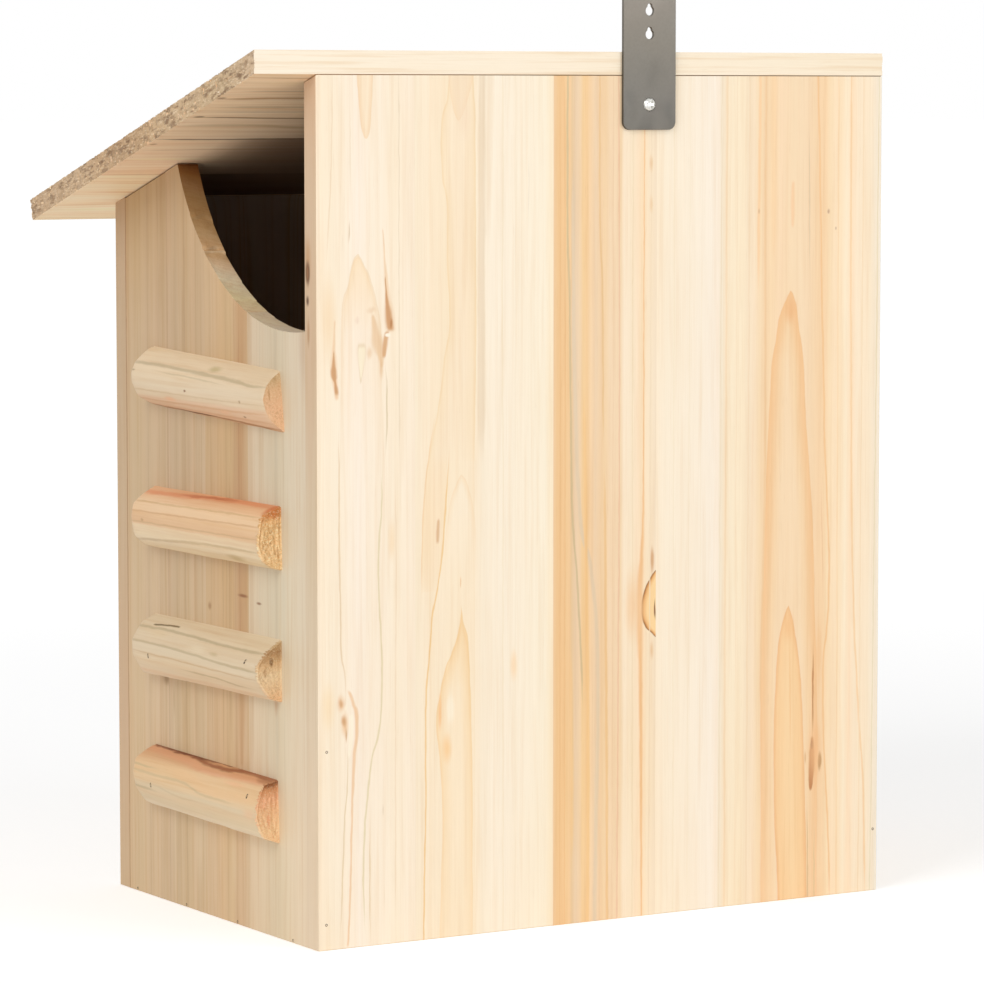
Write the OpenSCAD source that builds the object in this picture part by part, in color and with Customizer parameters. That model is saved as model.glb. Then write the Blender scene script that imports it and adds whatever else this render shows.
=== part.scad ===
// Bat box: a lean-to nest box of edge-glued fir boards. One side wall has a wide round mouth
// under the roof and four half-round climbing rungs below it. A steel strip on the back wall
// hangs the box on a trunk or a wall.
//
// Frame: millimetres, +Z up, underside of the box at z = 0, back wall towards +Y,
// mouth and rungs towards +X. The origin is the middle of the box's underside.

/* [Body] */
// Width over the closed wall and the mouth wall
body_w = 290; // [275:1:330]
// Depth over the front wall and the back wall
body_d = 190; // [180:1:230]
// Height of the roof's rear edge above the underside of the box
body_h = 380; // [350:1:420]
// Thickness of the four walls
wall_t = 10; // [8:0.5:14]
// Thickness of the floor
floor_t = 10; // [8:0.5:14]

/* [Roof] */
// Thickness of the roof
roof_t = 9.5; // [8:0.5:14]
// Slope of the roof, falling to the front, in degrees
roof_pitch = 16.8; // [12:0.2:20]
// Reach of the roof beyond the mouth wall
side_overhang = 29; // [15:1:45]
// Reach of the roof beyond the front wall
front_overhang = 29; // [10:1:40]
// Seam between the roof and the two side walls, which are nailed to the front and the back only
side_seam = 0.6; // [0:0.1:0.9]
// Seam between the roof and the back wall, under the roof's rear edge
back_seam = 0.4; // [0:0.1:0.9]

/* [Staves] */
// Widths of the back wall's staves, starting at the mouth wall; one more stave fills the rest
back_stave_w = [47.5, 69, 53, 33]; // [30:0.5:70]
// Widths of the front wall's staves, starting at the mouth wall; one more stave fills the rest
front_stave_w = [62, 51, 66, 58]; // [40:1:75]
// Widths of the mouth wall's staves, starting at the back wall; one more stave fills the rest
mouth_stave_w = [52, 40, 37]; // [35:1:55]
// Widths of the closed wall's staves, starting at the back wall; one more stave fills the rest
closed_stave_w = [41, 52, 46]; // [35:1:55]
// Widths of the floor's staves, starting at the back wall; one more stave fills the rest
floor_stave_w = [55, 60]; // [45:1:65]
// Widths of the roof's staves along the slope, starting at the rear; one more fills the rest
roof_stave_w = [34, 31, 31, 56]; // [30:1:60]

/* [Mouth] */
// Radius of the mouth's round edge
mouth_r = 113; // [90:1:125]
// Height of the mouth's lowest point above the underside of the box
mouth_sill = 261.3; // [255:0.1:300]
// Distance from the back wall's inner face to the centre of the round edge
mouth_inset = 13; // [5:0.1:30]

/* [Rungs] */
// Length of each rung, top one first
rung_l = [122.6, 121.4, 121, 118]; // [100:0.2:126]
// Height of each rung against the wall, top one first
rung_h = [26.2, 27.6, 27.3, 27.6]; // [20:0.1:32]
// Reach of each rung out from the wall, top one first
rung_d = [11.5, 12.2, 12.4, 11.9]; // [8:0.1:16]
// Height of each rung's middle above or below its even place, top one first
rung_shift = [0, -1.5, 0.8, 0]; // [-5:0.1:5]
// Lean of each rung, positive with its front end higher, in degrees, top one first
rung_lean = [2.3, 0, -0.2, 0.6]; // [-4:0.1:4]
// Slant of each rung's rear end, positive with its lower edge further to the rear, in degrees
rung_slant = [11, 2, 0, 3.4]; // [-12:0.1:12]
// Distance from the back wall's outer face to the middle of each rung's rear end
rung_inset = [30.4, 31.6, 31.9, 35.2]; // [20:0.1:38]
// Distance from the mouth's lowest point down to the middle of the top rung
rung_drop = 27.3; // [20:0.1:35]
// Even spacing of the rungs
rung_pitch = 59.5; // [45:0.5:60]

/* [Hanger] */
// Width of the steel strip
strip_w = 27; // [20:0.5:40]
// Thickness of the steel strip
strip_t = 1.5; // [1:0.1:3]
// Length of the steel strip
strip_l = 63.7; // [55:0.1:90]
// Height of the strip's top end above the roof's rear edge
strip_rise = 30; // [28:0.5:60]
// Radius of the strip's four corners
strip_corner = 3.5; // [1:0.5:8]
// Distance from the mouth wall's outer face to the strip's middle
strip_inset = 164.6; // [150:0.1:168]
// Radius of the round part of a keyhole
keyhole_r = 2.1; // [1.8:0.1:3]
// Half width of a keyhole's neck
neck_r = 1.2; // [0.8:0.1:1.3]
// Height of a keyhole's neck, from the middle of the round part to the middle of its round end
neck_l = 2; // [1.5:0.1:3.5]
// Distance from the strip's top end to the middle of the upper keyhole
keyhole_drop = 12.2; // [8:0.1:13]
// Spacing of the two keyholes
keyhole_pitch = 10.2; // [8:0.1:12]

/* [Hanger screw] */
// Radius of the screw's head
head_r = 3.1; // [2.6:0.1:4.5]
// Height of the screw's head
head_h = 2.1; // [1.4:0.1:3]
// Radius of the screw's shank
shank_r = 1.75; // [1.2:0.05:2.2]
// Wood left between the screw's tip and the inside of the back wall
shank_cover = 1.5; // [0.5:0.1:4]
// Clearance around the shank in the strip and in the wood
shank_play = 0.05; // [0.02:0.01:0.2]
// Distance from the strip's lower end up to the screw
screw_rise = 11; // [8:0.5:16]
// Width of the blades of the cross recess
recess_w = 0.9; // [0.5:0.1:1.4]
// Reach of the blades of the cross recess from the screw's axis
recess_reach = 1.8; // [1:0.1:2.2]
// Depth of the cross recess
recess_depth = 1.1; // [0.5:0.1:1.3]

/* [Hidden] */
$fn = 96;
eps = 1;

// Outer faces of the four walls, and their inner faces
back_y = body_d / 2;
front_y = -body_d / 2;
mouth_x = body_w / 2;
closed_x = -body_w / 2;
in_back_y = back_y - wall_t;
in_front_y = front_y + wall_t;
in_mouth_x = mouth_x - wall_t;
in_closed_x = closed_x + wall_t;

// Inside depth and width, which the side walls and the floor fill
in_d = in_back_y - in_front_y;
in_w = in_mouth_x - in_closed_x;

// Height of the roof's underside over the back wall's outer face, below the plumb rear edge
under_z = body_h - roof_t / cos(roof_pitch);

// Length of the roof's underside along the slope, square cut at the front
roof_run = (body_d + front_overhang - roof_t * sin(roof_pitch)) / cos(roof_pitch);

// Middle of the mouth's round edge
mouth_mid_y = in_back_y - mouth_inset;
mouth_mid_z = mouth_sill + mouth_r;

// Places on the strip
strip_x = mouth_x - strip_inset;
strip_top = body_h + strip_rise;
strip_low = strip_top - strip_l;
screw_z = strip_low + screw_rise;
keyhole_z = [strip_top - keyhole_drop, strip_top - keyhole_drop - keyhole_pitch];
shank_l = strip_t + wall_t - shank_cover;

// Corners of each rung's hewn section at its rear end and at its front end, from the lower edge
// on the wall up: each is a share of the rung's reach and of half its height
rung_rear_corners = [
    [[0, -1], [0.52, -0.69], [0.76, -0.33], [0.89, 0.06], [0.7, 0.53], [0.37, 0.8], [0, 1]],
    [[0, -1], [0.45, -0.9], [0.81, -0.62], [0.98, -0.14], [0.8, 0.68], [0.35, 0.95], [0, 1]],
    [[0, -1], [0.46, -0.86], [0.96, -0.25], [0.98, 0.2], [0.74, 0.5], [0.45, 0.75], [0, 1]],
    [[0, -1], [0.67, -0.79], [0.97, -0.16], [0.86, 0.4], [0.63, 0.91], [0.3, 0.97], [0, 1]]
];
rung_front_corners = [
    [[0, -1], [0.7, -0.69], [0.98, -0.2], [0.98, 0.2], [0.85, 0.5], [0.25, 0.95], [0, 1]],
    [[0, -1], [0.42, -0.92], [0.86, -0.57], [0.99, 0.07], [0.88, 0.51], [0.43, 0.83], [0, 1]],
    [[0, -1], [0.55, -0.95], [0.93, -0.37], [0.97, 0.15], [0.86, 0.37], [0.55, 0.78], [0, 1]],
    [[0, -1], [0.45, -0.88], [0.87, -0.41], [1, 0.15], [0.85, 0.64], [0.35, 0.92], [0, 1]]
];

// Height of the roof's underside over a place y
function under_at(y) = under_z - (back_y - y) * tan(roof_pitch);

// Point of the roof's profile: s along the slope from the rear, h square off the underside
function roof_point(s, h) = [
    back_y - s * cos(roof_pitch) - h * sin(roof_pitch),
    under_z - s * sin(roof_pitch) + h * cos(roof_pitch)
];

// Sum of the first n entries of a list
function sum_of(list, n) = n == 0 ? 0 : list[n - 1] + sum_of(list, n - 1);

// Glue lines of a board: its start, the end of each stave, and its far edge
function glue_lines(widths, total) = [for (i = [0 : len(widths)]) sum_of(widths, i), total];

back_lines = glue_lines(back_stave_w, body_w);
front_lines = glue_lines(front_stave_w, body_w);
mouth_lines = glue_lines(mouth_stave_w, in_d);
closed_lines = glue_lines(closed_stave_w, in_d);
floor_lines = glue_lines(floor_stave_w, in_d);
roof_lines = glue_lines(roof_stave_w, roof_run);

// Number of staves between a board's glue lines, and the names of its staves
function stave_count(lines) = len(lines) - 1;
function names(stem, count) = [for (i = [1 : count]) str(stem, i)];

// Prism along X from x0 to x1, with its section drawn in Y and Z
module along_x(x0, x1) {
    translate([x0, 0, 0])
        rotate([90, 0, 90])
            linear_extrude(x1 - x0)
                children();
}

// Upright board from x0 to x1 and from y0 to y1, bevelled on top to the roof's underside
module upright(x0, x1, y0, y1, seam = 0) {
    along_x(x0, x1)
        polygon([[y0, 0], [y1, 0], [y1, under_at(y1) - seam], [y0, under_at(y0) - seam]]);
}

// Stave i of the back wall, with the pilot hole where the hanger's screw goes in
module back_wall_stave(i) {
    color("wheat")
        difference() {
            upright(
                mouth_x - back_lines[i + 1], mouth_x - back_lines[i],
                in_back_y, back_y,
                back_seam
            );
            screw_hole(back_y + eps);
        }
}

// Stave i of the front wall
module front_wall_stave(i) {
    color("wheat")
        upright(mouth_x - front_lines[i + 1], mouth_x - front_lines[i], front_y, in_front_y);
}

// Stave i of the mouth wall, cut by the round edge of the mouth
module mouth_wall_stave(i) {
    color("burlywood")
        difference() {
            upright(
                in_mouth_x, mouth_x,
                in_back_y - mouth_lines[i + 1], in_back_y - mouth_lines[i],
                side_seam
            );
            translate([in_mouth_x - eps, mouth_mid_y, mouth_mid_z])
                rotate([0, 90, 0])
                    cylinder(r = mouth_r, h = wall_t + 2 * eps);
        }
}

// Stave i of the closed wall
module closed_wall_stave(i) {
    color("burlywood")
        upright(
            closed_x, in_closed_x,
            in_back_y - closed_lines[i + 1], in_back_y - closed_lines[i],
            side_seam
        );
}

// Stave i of the floor, which lies between the four walls
module floor_stave(i) {
    color("wheat")
        translate([in_closed_x, in_back_y - floor_lines[i + 1], 0])
            cube([in_w, floor_lines[i + 1] - floor_lines[i], floor_t]);
}

// Stave i of the roof; the first one's rear edge is cut plumb, flush with the back wall
module roof_stave(i) {
    low = roof_lines[i];
    high = roof_lines[i + 1];
    rear_top = i == 0 ? [back_y, body_h] : roof_point(low, roof_t);
    color("tan")
        along_x(closed_x, mouth_x + side_overhang)
            polygon([roof_point(low, 0), rear_top, roof_point(high, roof_t), roof_point(high, 0)]);
}

// Outline of rung i's section at a place y along it, its end cut at a slant
function rung_ring(i, corners, y, slant = 0) = [
    for (c = corners)
        let (z = c[1] * rung_h[i] / 2)
            [c[0] * rung_d[i], y - z * tan(slant), z]
];

// Rung i: a split stick with its flat sawn face on the mouth wall, and hewn facets that run a
// little askew from its rear end to its front end
module rung(i) {
    rear = rung_ring(i, rung_rear_corners[i], rung_l[i] / 2, rung_slant[i]);
    front = rung_ring(i, rung_front_corners[i], -rung_l[i] / 2);
    n = len(rear);
    sides = [for (k = [0 : n - 1]) each [
        [k, (k + 1) % n, n + (k + 1) % n],
        [k, n + (k + 1) % n, n + k]
    ]];
    ends = [[for (k = [n - 1 : -1 : 0]) k], [for (k = [0 : n - 1]) n + k]];
    mid_z = mouth_sill - rung_drop - i * rung_pitch + rung_shift[i];
    color("navajowhite")
        translate([mouth_x, back_y - rung_inset[i] - rung_l[i] / 2, mid_z])
            rotate([-rung_lean[i], 0, 0])
                polyhedron(concat(rear, front), concat(sides, ends));
}

// Round hole along Y for the hanger's screw, from the tip of its pilot out to y1
module screw_hole(y1) {
    tip_y = in_back_y + shank_cover;
    translate([strip_x, y1, screw_z])
        rotate([90, 0, 0])
            cylinder(r = shank_r + shank_play, h = y1 - tip_y);
}

// Flat rectangle with four round corners, its lower left corner at the origin
module round_plate(w, l, r) {
    translate([r, 0])
        square([w - 2 * r, l]);
    translate([0, r])
        square([w, l - 2 * r]);
    for (x = [r, w - r], y = [r, l - r])
        translate([x, y])
            circle(r);
}

// Keyhole through the strip: a round hole for a nail's head and a narrow neck above it
module keyhole(z) {
    translate([strip_x, back_y + strip_t + eps, z])
        rotate([90, 0, 0]) {
            cylinder(r = keyhole_r, h = strip_t + 2 * eps);
            translate([-neck_r, 0, 0])
                cube([2 * neck_r, neck_l, strip_t + 2 * eps]);
            translate([0, neck_l, 0])
                cylinder(r = neck_r, h = strip_t + 2 * eps);
        }
}

// Steel strip, flat on the back wall and on the roof's plumb rear edge
module hanger_strip() {
    color("silver")
        difference() {
            translate([strip_x - strip_w / 2, back_y + strip_t, strip_low])
                rotate([90, 0, 0])
                    linear_extrude(strip_t)
                        round_plate(strip_w, strip_l, strip_corner);
            screw_hole(back_y + strip_t + eps);
            for (z = keyhole_z)
                keyhole(z);
        }
}

// Domed screw head on a plane at z = 0, with a cross recess in its top
module screw_head() {
    dome_r = (head_r * head_r + head_h * head_h) / (2 * head_h);
    difference() {
        intersection() {
            cylinder(r = head_r, h = head_h);
            translate([0, 0, head_h - dome_r])
                sphere(dome_r);
        }
        for (turn = [0, 90])
            rotate([0, 0, turn])
                translate([-recess_reach, -recess_w / 2, head_h - recess_depth])
                    cube([2 * recess_reach, recess_w, recess_depth + eps]);
    }
}

// Pan-head screw that holds the strip to the back wall
module hanger_screw() {
    color("gainsboro")
        translate([strip_x, back_y + strip_t, screw_z])
            rotate([-90, 0, 0]) {
                screw_head();
                translate([0, 0, -shank_l])
                    cylinder(r = shank_r, h = shank_l);
            }
}

for (i = [1 : stave_count(back_lines)])
    back_wall_stave(i - 1);
for (i = [1 : stave_count(front_lines)])
    front_wall_stave(i - 1);
for (i = [1 : stave_count(mouth_lines)])
    mouth_wall_stave(i - 1);
for (i = [1 : stave_count(closed_lines)])
    closed_wall_stave(i - 1);
for (i = [1 : stave_count(floor_lines)])
    floor_stave(i - 1);
for (i = [1 : stave_count(roof_lines)])
    roof_stave(i - 1);
for (i = [1 : len(rung_h)])
    rung(i - 1);
hanger_strip();
hanger_screw();
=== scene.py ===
"""Looks of the bat box: a lean-to nest box of edge-glued fir, with a wide round mouth, four split
climbing rungs and a steel hanging strip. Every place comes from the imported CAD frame, in metres.
Grain is described stave by stave, in millimetres on the stave itself."""

import math
import random

import bmesh
import bpy
from mathutils import Matrix, Vector, noise
from mathutils.bvhtree import BVHTree


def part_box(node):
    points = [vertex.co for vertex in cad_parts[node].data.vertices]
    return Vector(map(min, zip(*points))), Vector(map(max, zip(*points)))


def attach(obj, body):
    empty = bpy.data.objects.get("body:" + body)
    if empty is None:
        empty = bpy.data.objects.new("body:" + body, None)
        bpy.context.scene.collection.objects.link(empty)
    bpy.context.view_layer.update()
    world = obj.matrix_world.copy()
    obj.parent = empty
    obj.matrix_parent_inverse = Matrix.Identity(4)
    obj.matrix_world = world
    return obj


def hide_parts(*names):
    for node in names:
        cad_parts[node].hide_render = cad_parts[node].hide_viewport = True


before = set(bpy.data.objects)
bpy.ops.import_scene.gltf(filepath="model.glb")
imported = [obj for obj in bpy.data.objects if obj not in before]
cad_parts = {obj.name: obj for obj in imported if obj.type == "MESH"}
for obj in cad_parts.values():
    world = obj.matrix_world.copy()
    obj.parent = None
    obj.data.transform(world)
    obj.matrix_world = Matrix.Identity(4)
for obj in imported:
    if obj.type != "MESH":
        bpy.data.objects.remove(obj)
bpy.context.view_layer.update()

MM = 0.001

# ---------------------------------------------------------------------------------------------
# Places taken from the frame
# ---------------------------------------------------------------------------------------------
ON_PLANE = 0.01 * MM  # how near a vertex lies to a plane that it belongs to
SAME_SPOT = 0.05 * MM  # how near two corners lie that count as one
MOUTH_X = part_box("mouth_wall_stave_1")[1].x
CLOSED_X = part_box("closed_wall_stave_1")[0].x
BACK_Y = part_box("back_wall_stave_1")[1].y
FRONT_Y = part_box("front_wall_stave_1")[0].y
WALL_T = BACK_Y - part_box("back_wall_stave_1")[0].y
IN_BACK_Y, IN_FRONT_Y = BACK_Y - WALL_T, FRONT_Y + WALL_T
ROOF_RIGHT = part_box("roof_stave_1")[1].x
ROOF_STAVES = range(1, 6)


def distinct(spots):
    """The spots without those that repeat an earlier one."""
    found = []
    for spot in spots:
        if all((spot - other).length > SAME_SPOT for other in found):
            found.append(spot)
    return found


def roof_section(i):
    """Corners of roof stave i as (y, z): rear low, rear high, front high, front low."""
    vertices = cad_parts[f"roof_stave_{i}"].data.vertices
    spots = distinct(v.co.yz for v in vertices if abs(v.co.x - ROOF_RIGHT) <= ON_PLANE)
    spots.sort(key=lambda s: s.x)
    front, rear = (sorted(pair, key=lambda s: s.y) for pair in (spots[:2], spots[2:]))
    return [rear[0], rear[1], front[1], front[0]]


UNDER_REAR = roof_section(1)[0]
SLOPE = (roof_section(ROOF_STAVES[-1])[3] - UNDER_REAR).normalized()
ROOF_DOWN = Vector((0, SLOPE.x, SLOPE.y))
ROOF_UP = Vector((0, SLOPE.y, -SLOPE.x))
ROOM_DEPTH = (UNDER_REAR.x - IN_FRONT_Y) / -SLOPE.x / MM

# ---------------------------------------------------------------------------------------------
# Colours, as they look in plain light
# ---------------------------------------------------------------------------------------------
# The darkest tone here is painted shade: it stands for the deep shade inside the closed box
TONES = {
    "ring": "EBCFA6", "saw": "D8B48C", "blush": "F8E6CC", "end": "F0DCC0", "spark": "FBE6C4",
    "room_shade": "5A300F", "streak": "EAD4B2",
}
WHITE = (1, 1, 1, 1)


def srgb(code):
    """Linear colour of a six-figure code."""
    channels = [int(code[k:k + 2], 16) / 255 for k in (0, 2, 4)]
    linear = [c / 12.92 if c < 0.04045 else ((c + 0.055) / 1.055) ** 2.4 for c in channels]
    return (*linear, 1.0)


def tone(name, light=1.0):
    """The colour that looks like this tone where only a share of the light falls."""
    return (*(min(1.0, c / light) for c in srgb(TONES.get(name, name))[:3]), 1.0)


def tones(stops, light):
    """Stops of a colour ramp, from (place, tone) pairs."""
    return [(place, tone(name, light)) for place, name in stops]


# ---------------------------------------------------------------------------------------------
# Shader graph helper
# ---------------------------------------------------------------------------------------------
class Graph:
    """Adds nodes to a material or a world. Any input takes a socket, a number, a vector or a
    colour."""

    def __init__(self, owner):
        self.owner = owner
        owner.use_nodes = True
        self.tree = owner.node_tree
        self.tree.nodes.clear()

    def put(self, value, socket):
        if isinstance(value, bpy.types.NodeSocket):
            self.tree.links.new(value, socket)
        else:
            socket.default_value = value

    def node(self, kind, inputs, **settings):
        node = self.tree.nodes.new("ShaderNode" + kind)
        for key, value in settings.items():
            setattr(node, key, value)
        for key, value in inputs.items():
            self.put(value, node.inputs[key])
        return node

    def place(self, output="Object"):
        return self.node("TexCoord", {}).outputs[output]

    def math(self, operation, a, b=0.0, c=0.0):
        return self.node("Math", {0: a, 1: b, 2: c}, operation=operation).outputs[0]

    def product(self, a, b):
        return self.math("MULTIPLY", a, b)

    def total(self, a, b):
        return self.math("ADD", a, b)

    def less(self, a, b):
        return self.math("SUBTRACT", a, b)

    def vector(self, operation, a, b=(0, 0, 0), c=None):
        inputs = {0: a, 1: b} if c is None else {0: a, 1: b, 2: c}
        node = self.node("VectorMath", inputs, operation=operation)
        return node.outputs["Value" if operation in ("DOT_PRODUCT", "LENGTH") else "Vector"]

    def combine(self, x, y, z):
        return self.node("CombineXYZ", {0: x, 1: y, 2: z}).outputs[0]

    def blend(self, factor, a, b, how="MIX"):
        node = self.node("Mix", {0: factor, 6: a, 7: b}, data_type="RGBA", blend_type=how)
        return node.outputs[2]

    def tint(self, factor, colour, other):
        return self.blend(factor, colour, other, "MULTIPLY")

    def remap(self, value, from_low, from_high, to_low=0.0, to_high=1.0, smooth=False):
        kind = "SMOOTHSTEP" if smooth else "LINEAR"
        inputs = {0: value, 1: from_low, 2: from_high, 3: to_low, 4: to_high}
        return self.node("MapRange", inputs, interpolation_type=kind).outputs[0]

    def soft(self, value, from_low, from_high, to_low=0.0, to_high=1.0):
        return self.remap(value, from_low, from_high, to_low, to_high, smooth=True)

    def ramp(self, value, stops):
        """Colour ramp over (place, colour) stops, the places in the value's own unit."""
        low, high = stops[0][0], stops[-1][0]
        node = self.node("ValToRGB", {0: self.remap(value, low, high)})
        elements = node.color_ramp.elements
        while len(elements) < len(stops):
            elements.new(1.0)
        for element, (place, colour) in zip(elements, stops):
            element.position = (place - low) / (high - low)
            element.color = colour
        return node.outputs["Color"]

    def curve(self, value, points):
        """Smooth curve through (x, y) points, or a plain number where y never changes."""
        xs, ys = zip(*points)
        low, high = min(ys), max(ys)
        if high - low < 1e-6:
            return low
        node = self.node("FloatCurve", {1: self.remap(value, xs[0], xs[-1])})
        line = node.mapping.curves[0]
        spots = [((x - xs[0]) / (xs[-1] - xs[0]), (y - low) / (high - low)) for x, y in points]
        for x, y in spots[1:-1]:
            line.points.new(x, y)
        for point, spot in zip(line.points, spots):
            point.location = spot
        node.mapping.update()
        return self.remap(node.outputs[0], 0.0, 1.0, low, high)

    def noise(self, vector, scale, seed=0.0, detail=2.0, rough=0.5, colour=False):
        """Noise of a vector stretched by a scale for each axis."""
        place = self.vector("MULTIPLY_ADD", vector, scale, (seed * 7.3, seed * 3.1, seed * 5.7))
        inputs = {"Vector": place, "Scale": 1.0, "Detail": detail, "Roughness": rough}
        node = self.node("TexNoise", inputs)
        return node.outputs["Color" if colour else "Fac"]

    def seen_plainly(self):
        """1 for the camera and for what gloss and glass show, 0 for other light."""
        ray = self.node("LightPath", {}).outputs
        seen = self.math("MAXIMUM", ray["Is Camera Ray"], ray["Is Glossy Ray"])
        return self.math("MAXIMUM", seen, ray["Is Transmission Ray"])

    def finish(self, colour, roughness, height, lift, metallic=0.0, specular=0.5):
        """Principled surface with its bump; plain values sit on the shader's own sockets."""
        bump = self.node("Bump", {"Height": height, "Strength": 1.0, "Distance": lift * MM})
        surface = self.node("BsdfPrincipled", {
            "Base Color": colour, "Roughness": roughness, "Metallic": metallic,
            "Specular IOR Level": specular, "Normal": bump.outputs[0]})
        self.node("OutputMaterial", {"Surface": surface.outputs[0]})
        return self.owner


def new_graph(name):
    return Graph(bpy.data.materials.new(name))


# ---------------------------------------------------------------------------------------------
# Wood
# ---------------------------------------------------------------------------------------------
class Board:
    """Where a board's grain coordinates start and run: across its face, into it, and along it,
    and the share of the studio's light that reaches its face. Its tones are written as seen."""

    def __init__(self, origin, across, depth, along, light=1.0):
        self.origin = Vector(origin)
        self.axes = [Vector(v) for v in (across, depth, along)]
        self.light = light


# Shares of the light on the mouth wall and rungs, on the roof's end, and in the round cut
SHADE, ROOF_SHADE, CUT_SHADE = 0.92, 0.60, 0.42
BACK = Board((MOUTH_X, BACK_Y, 0), (-1, 0, 0), (0, -1, 0), (0, 0, 1))
FRONT = Board((MOUTH_X, FRONT_Y, 0), (-1, 0, 0), (0, 1, 0), (0, 0, 1))
MOUTH = Board((MOUTH_X, BACK_Y, 0), (0, -1, 0), (-1, 0, 0), (0, 0, 1), SHADE)
CLOSED = Board((CLOSED_X, BACK_Y, 0), (0, -1, 0), (1, 0, 0), (0, 0, 1))
FLOOR = Board((MOUTH_X, BACK_Y, 0), (0, -1, 0), (0, 0, 1), (-1, 0, 0))
ROOF = Board((ROOF_RIGHT, UNDER_REAR.x, UNDER_REAR.y), ROOF_DOWN, ROOF_UP, (-1, 0, 0), ROOF_SHADE)

# Noises of the grain: scale across, into and along it; step of the seed; detail; roughness
NOISES = {
    "slow wander": ((0.03, 0.03, 0.008), 0, 1.0, 0.5),
    "fine wander": ((0.2, 0.2, 0.025), 1, 2.0, 0.5),
    "ragged edge": ((0.5, 0.5, 0.12), 3, 2.0, 0.5),
    "ring gaps": ((0.16, 1, 1), 0, 0.0, 0.5),
    "ring power": ((0.12, 0.12, 0.008), 2, 1.0, 0.5),
    "saw teeth": ((1.6, 0.12, 1), 9, 3.0, 0.6),
    "blush": ((0.05, 0.05, 0.012), 5, 3.0, 0.5),
    "streaks": ((0.5, 0.5, 0.014), 10, 3.0, 0.55),
    "strands": ((1.1, 1.1, 0.018), 6, 4.0, 0.65),
    "ducts": ((3.0, 3.0, 0.09), 7, 1.0, 0.5),
    "clumps": ((0.13, 0.3, 0.05), 13, 2.0, 0.5),
}
# How far the ragged edges stray across, into and along the grain, in mm
RAGGED = Vector((0.9, 0.4, 3.0))
# Strokes and marks are ragged, apart from marks shorter than this, in mm
LEAST_RAGGED = 1.2
BAND_SLANT = 0.25  # sideways shift of the bands for each mm into the wood
END_GRAIN = (0.9, 0.9, 5, 0.7)  # scale across and into, detail and roughness of torn ends
WOOD_SHINE = 0.35
WOOD_LIFT = 0.12  # depth of the grain's relief, in mm


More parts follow.
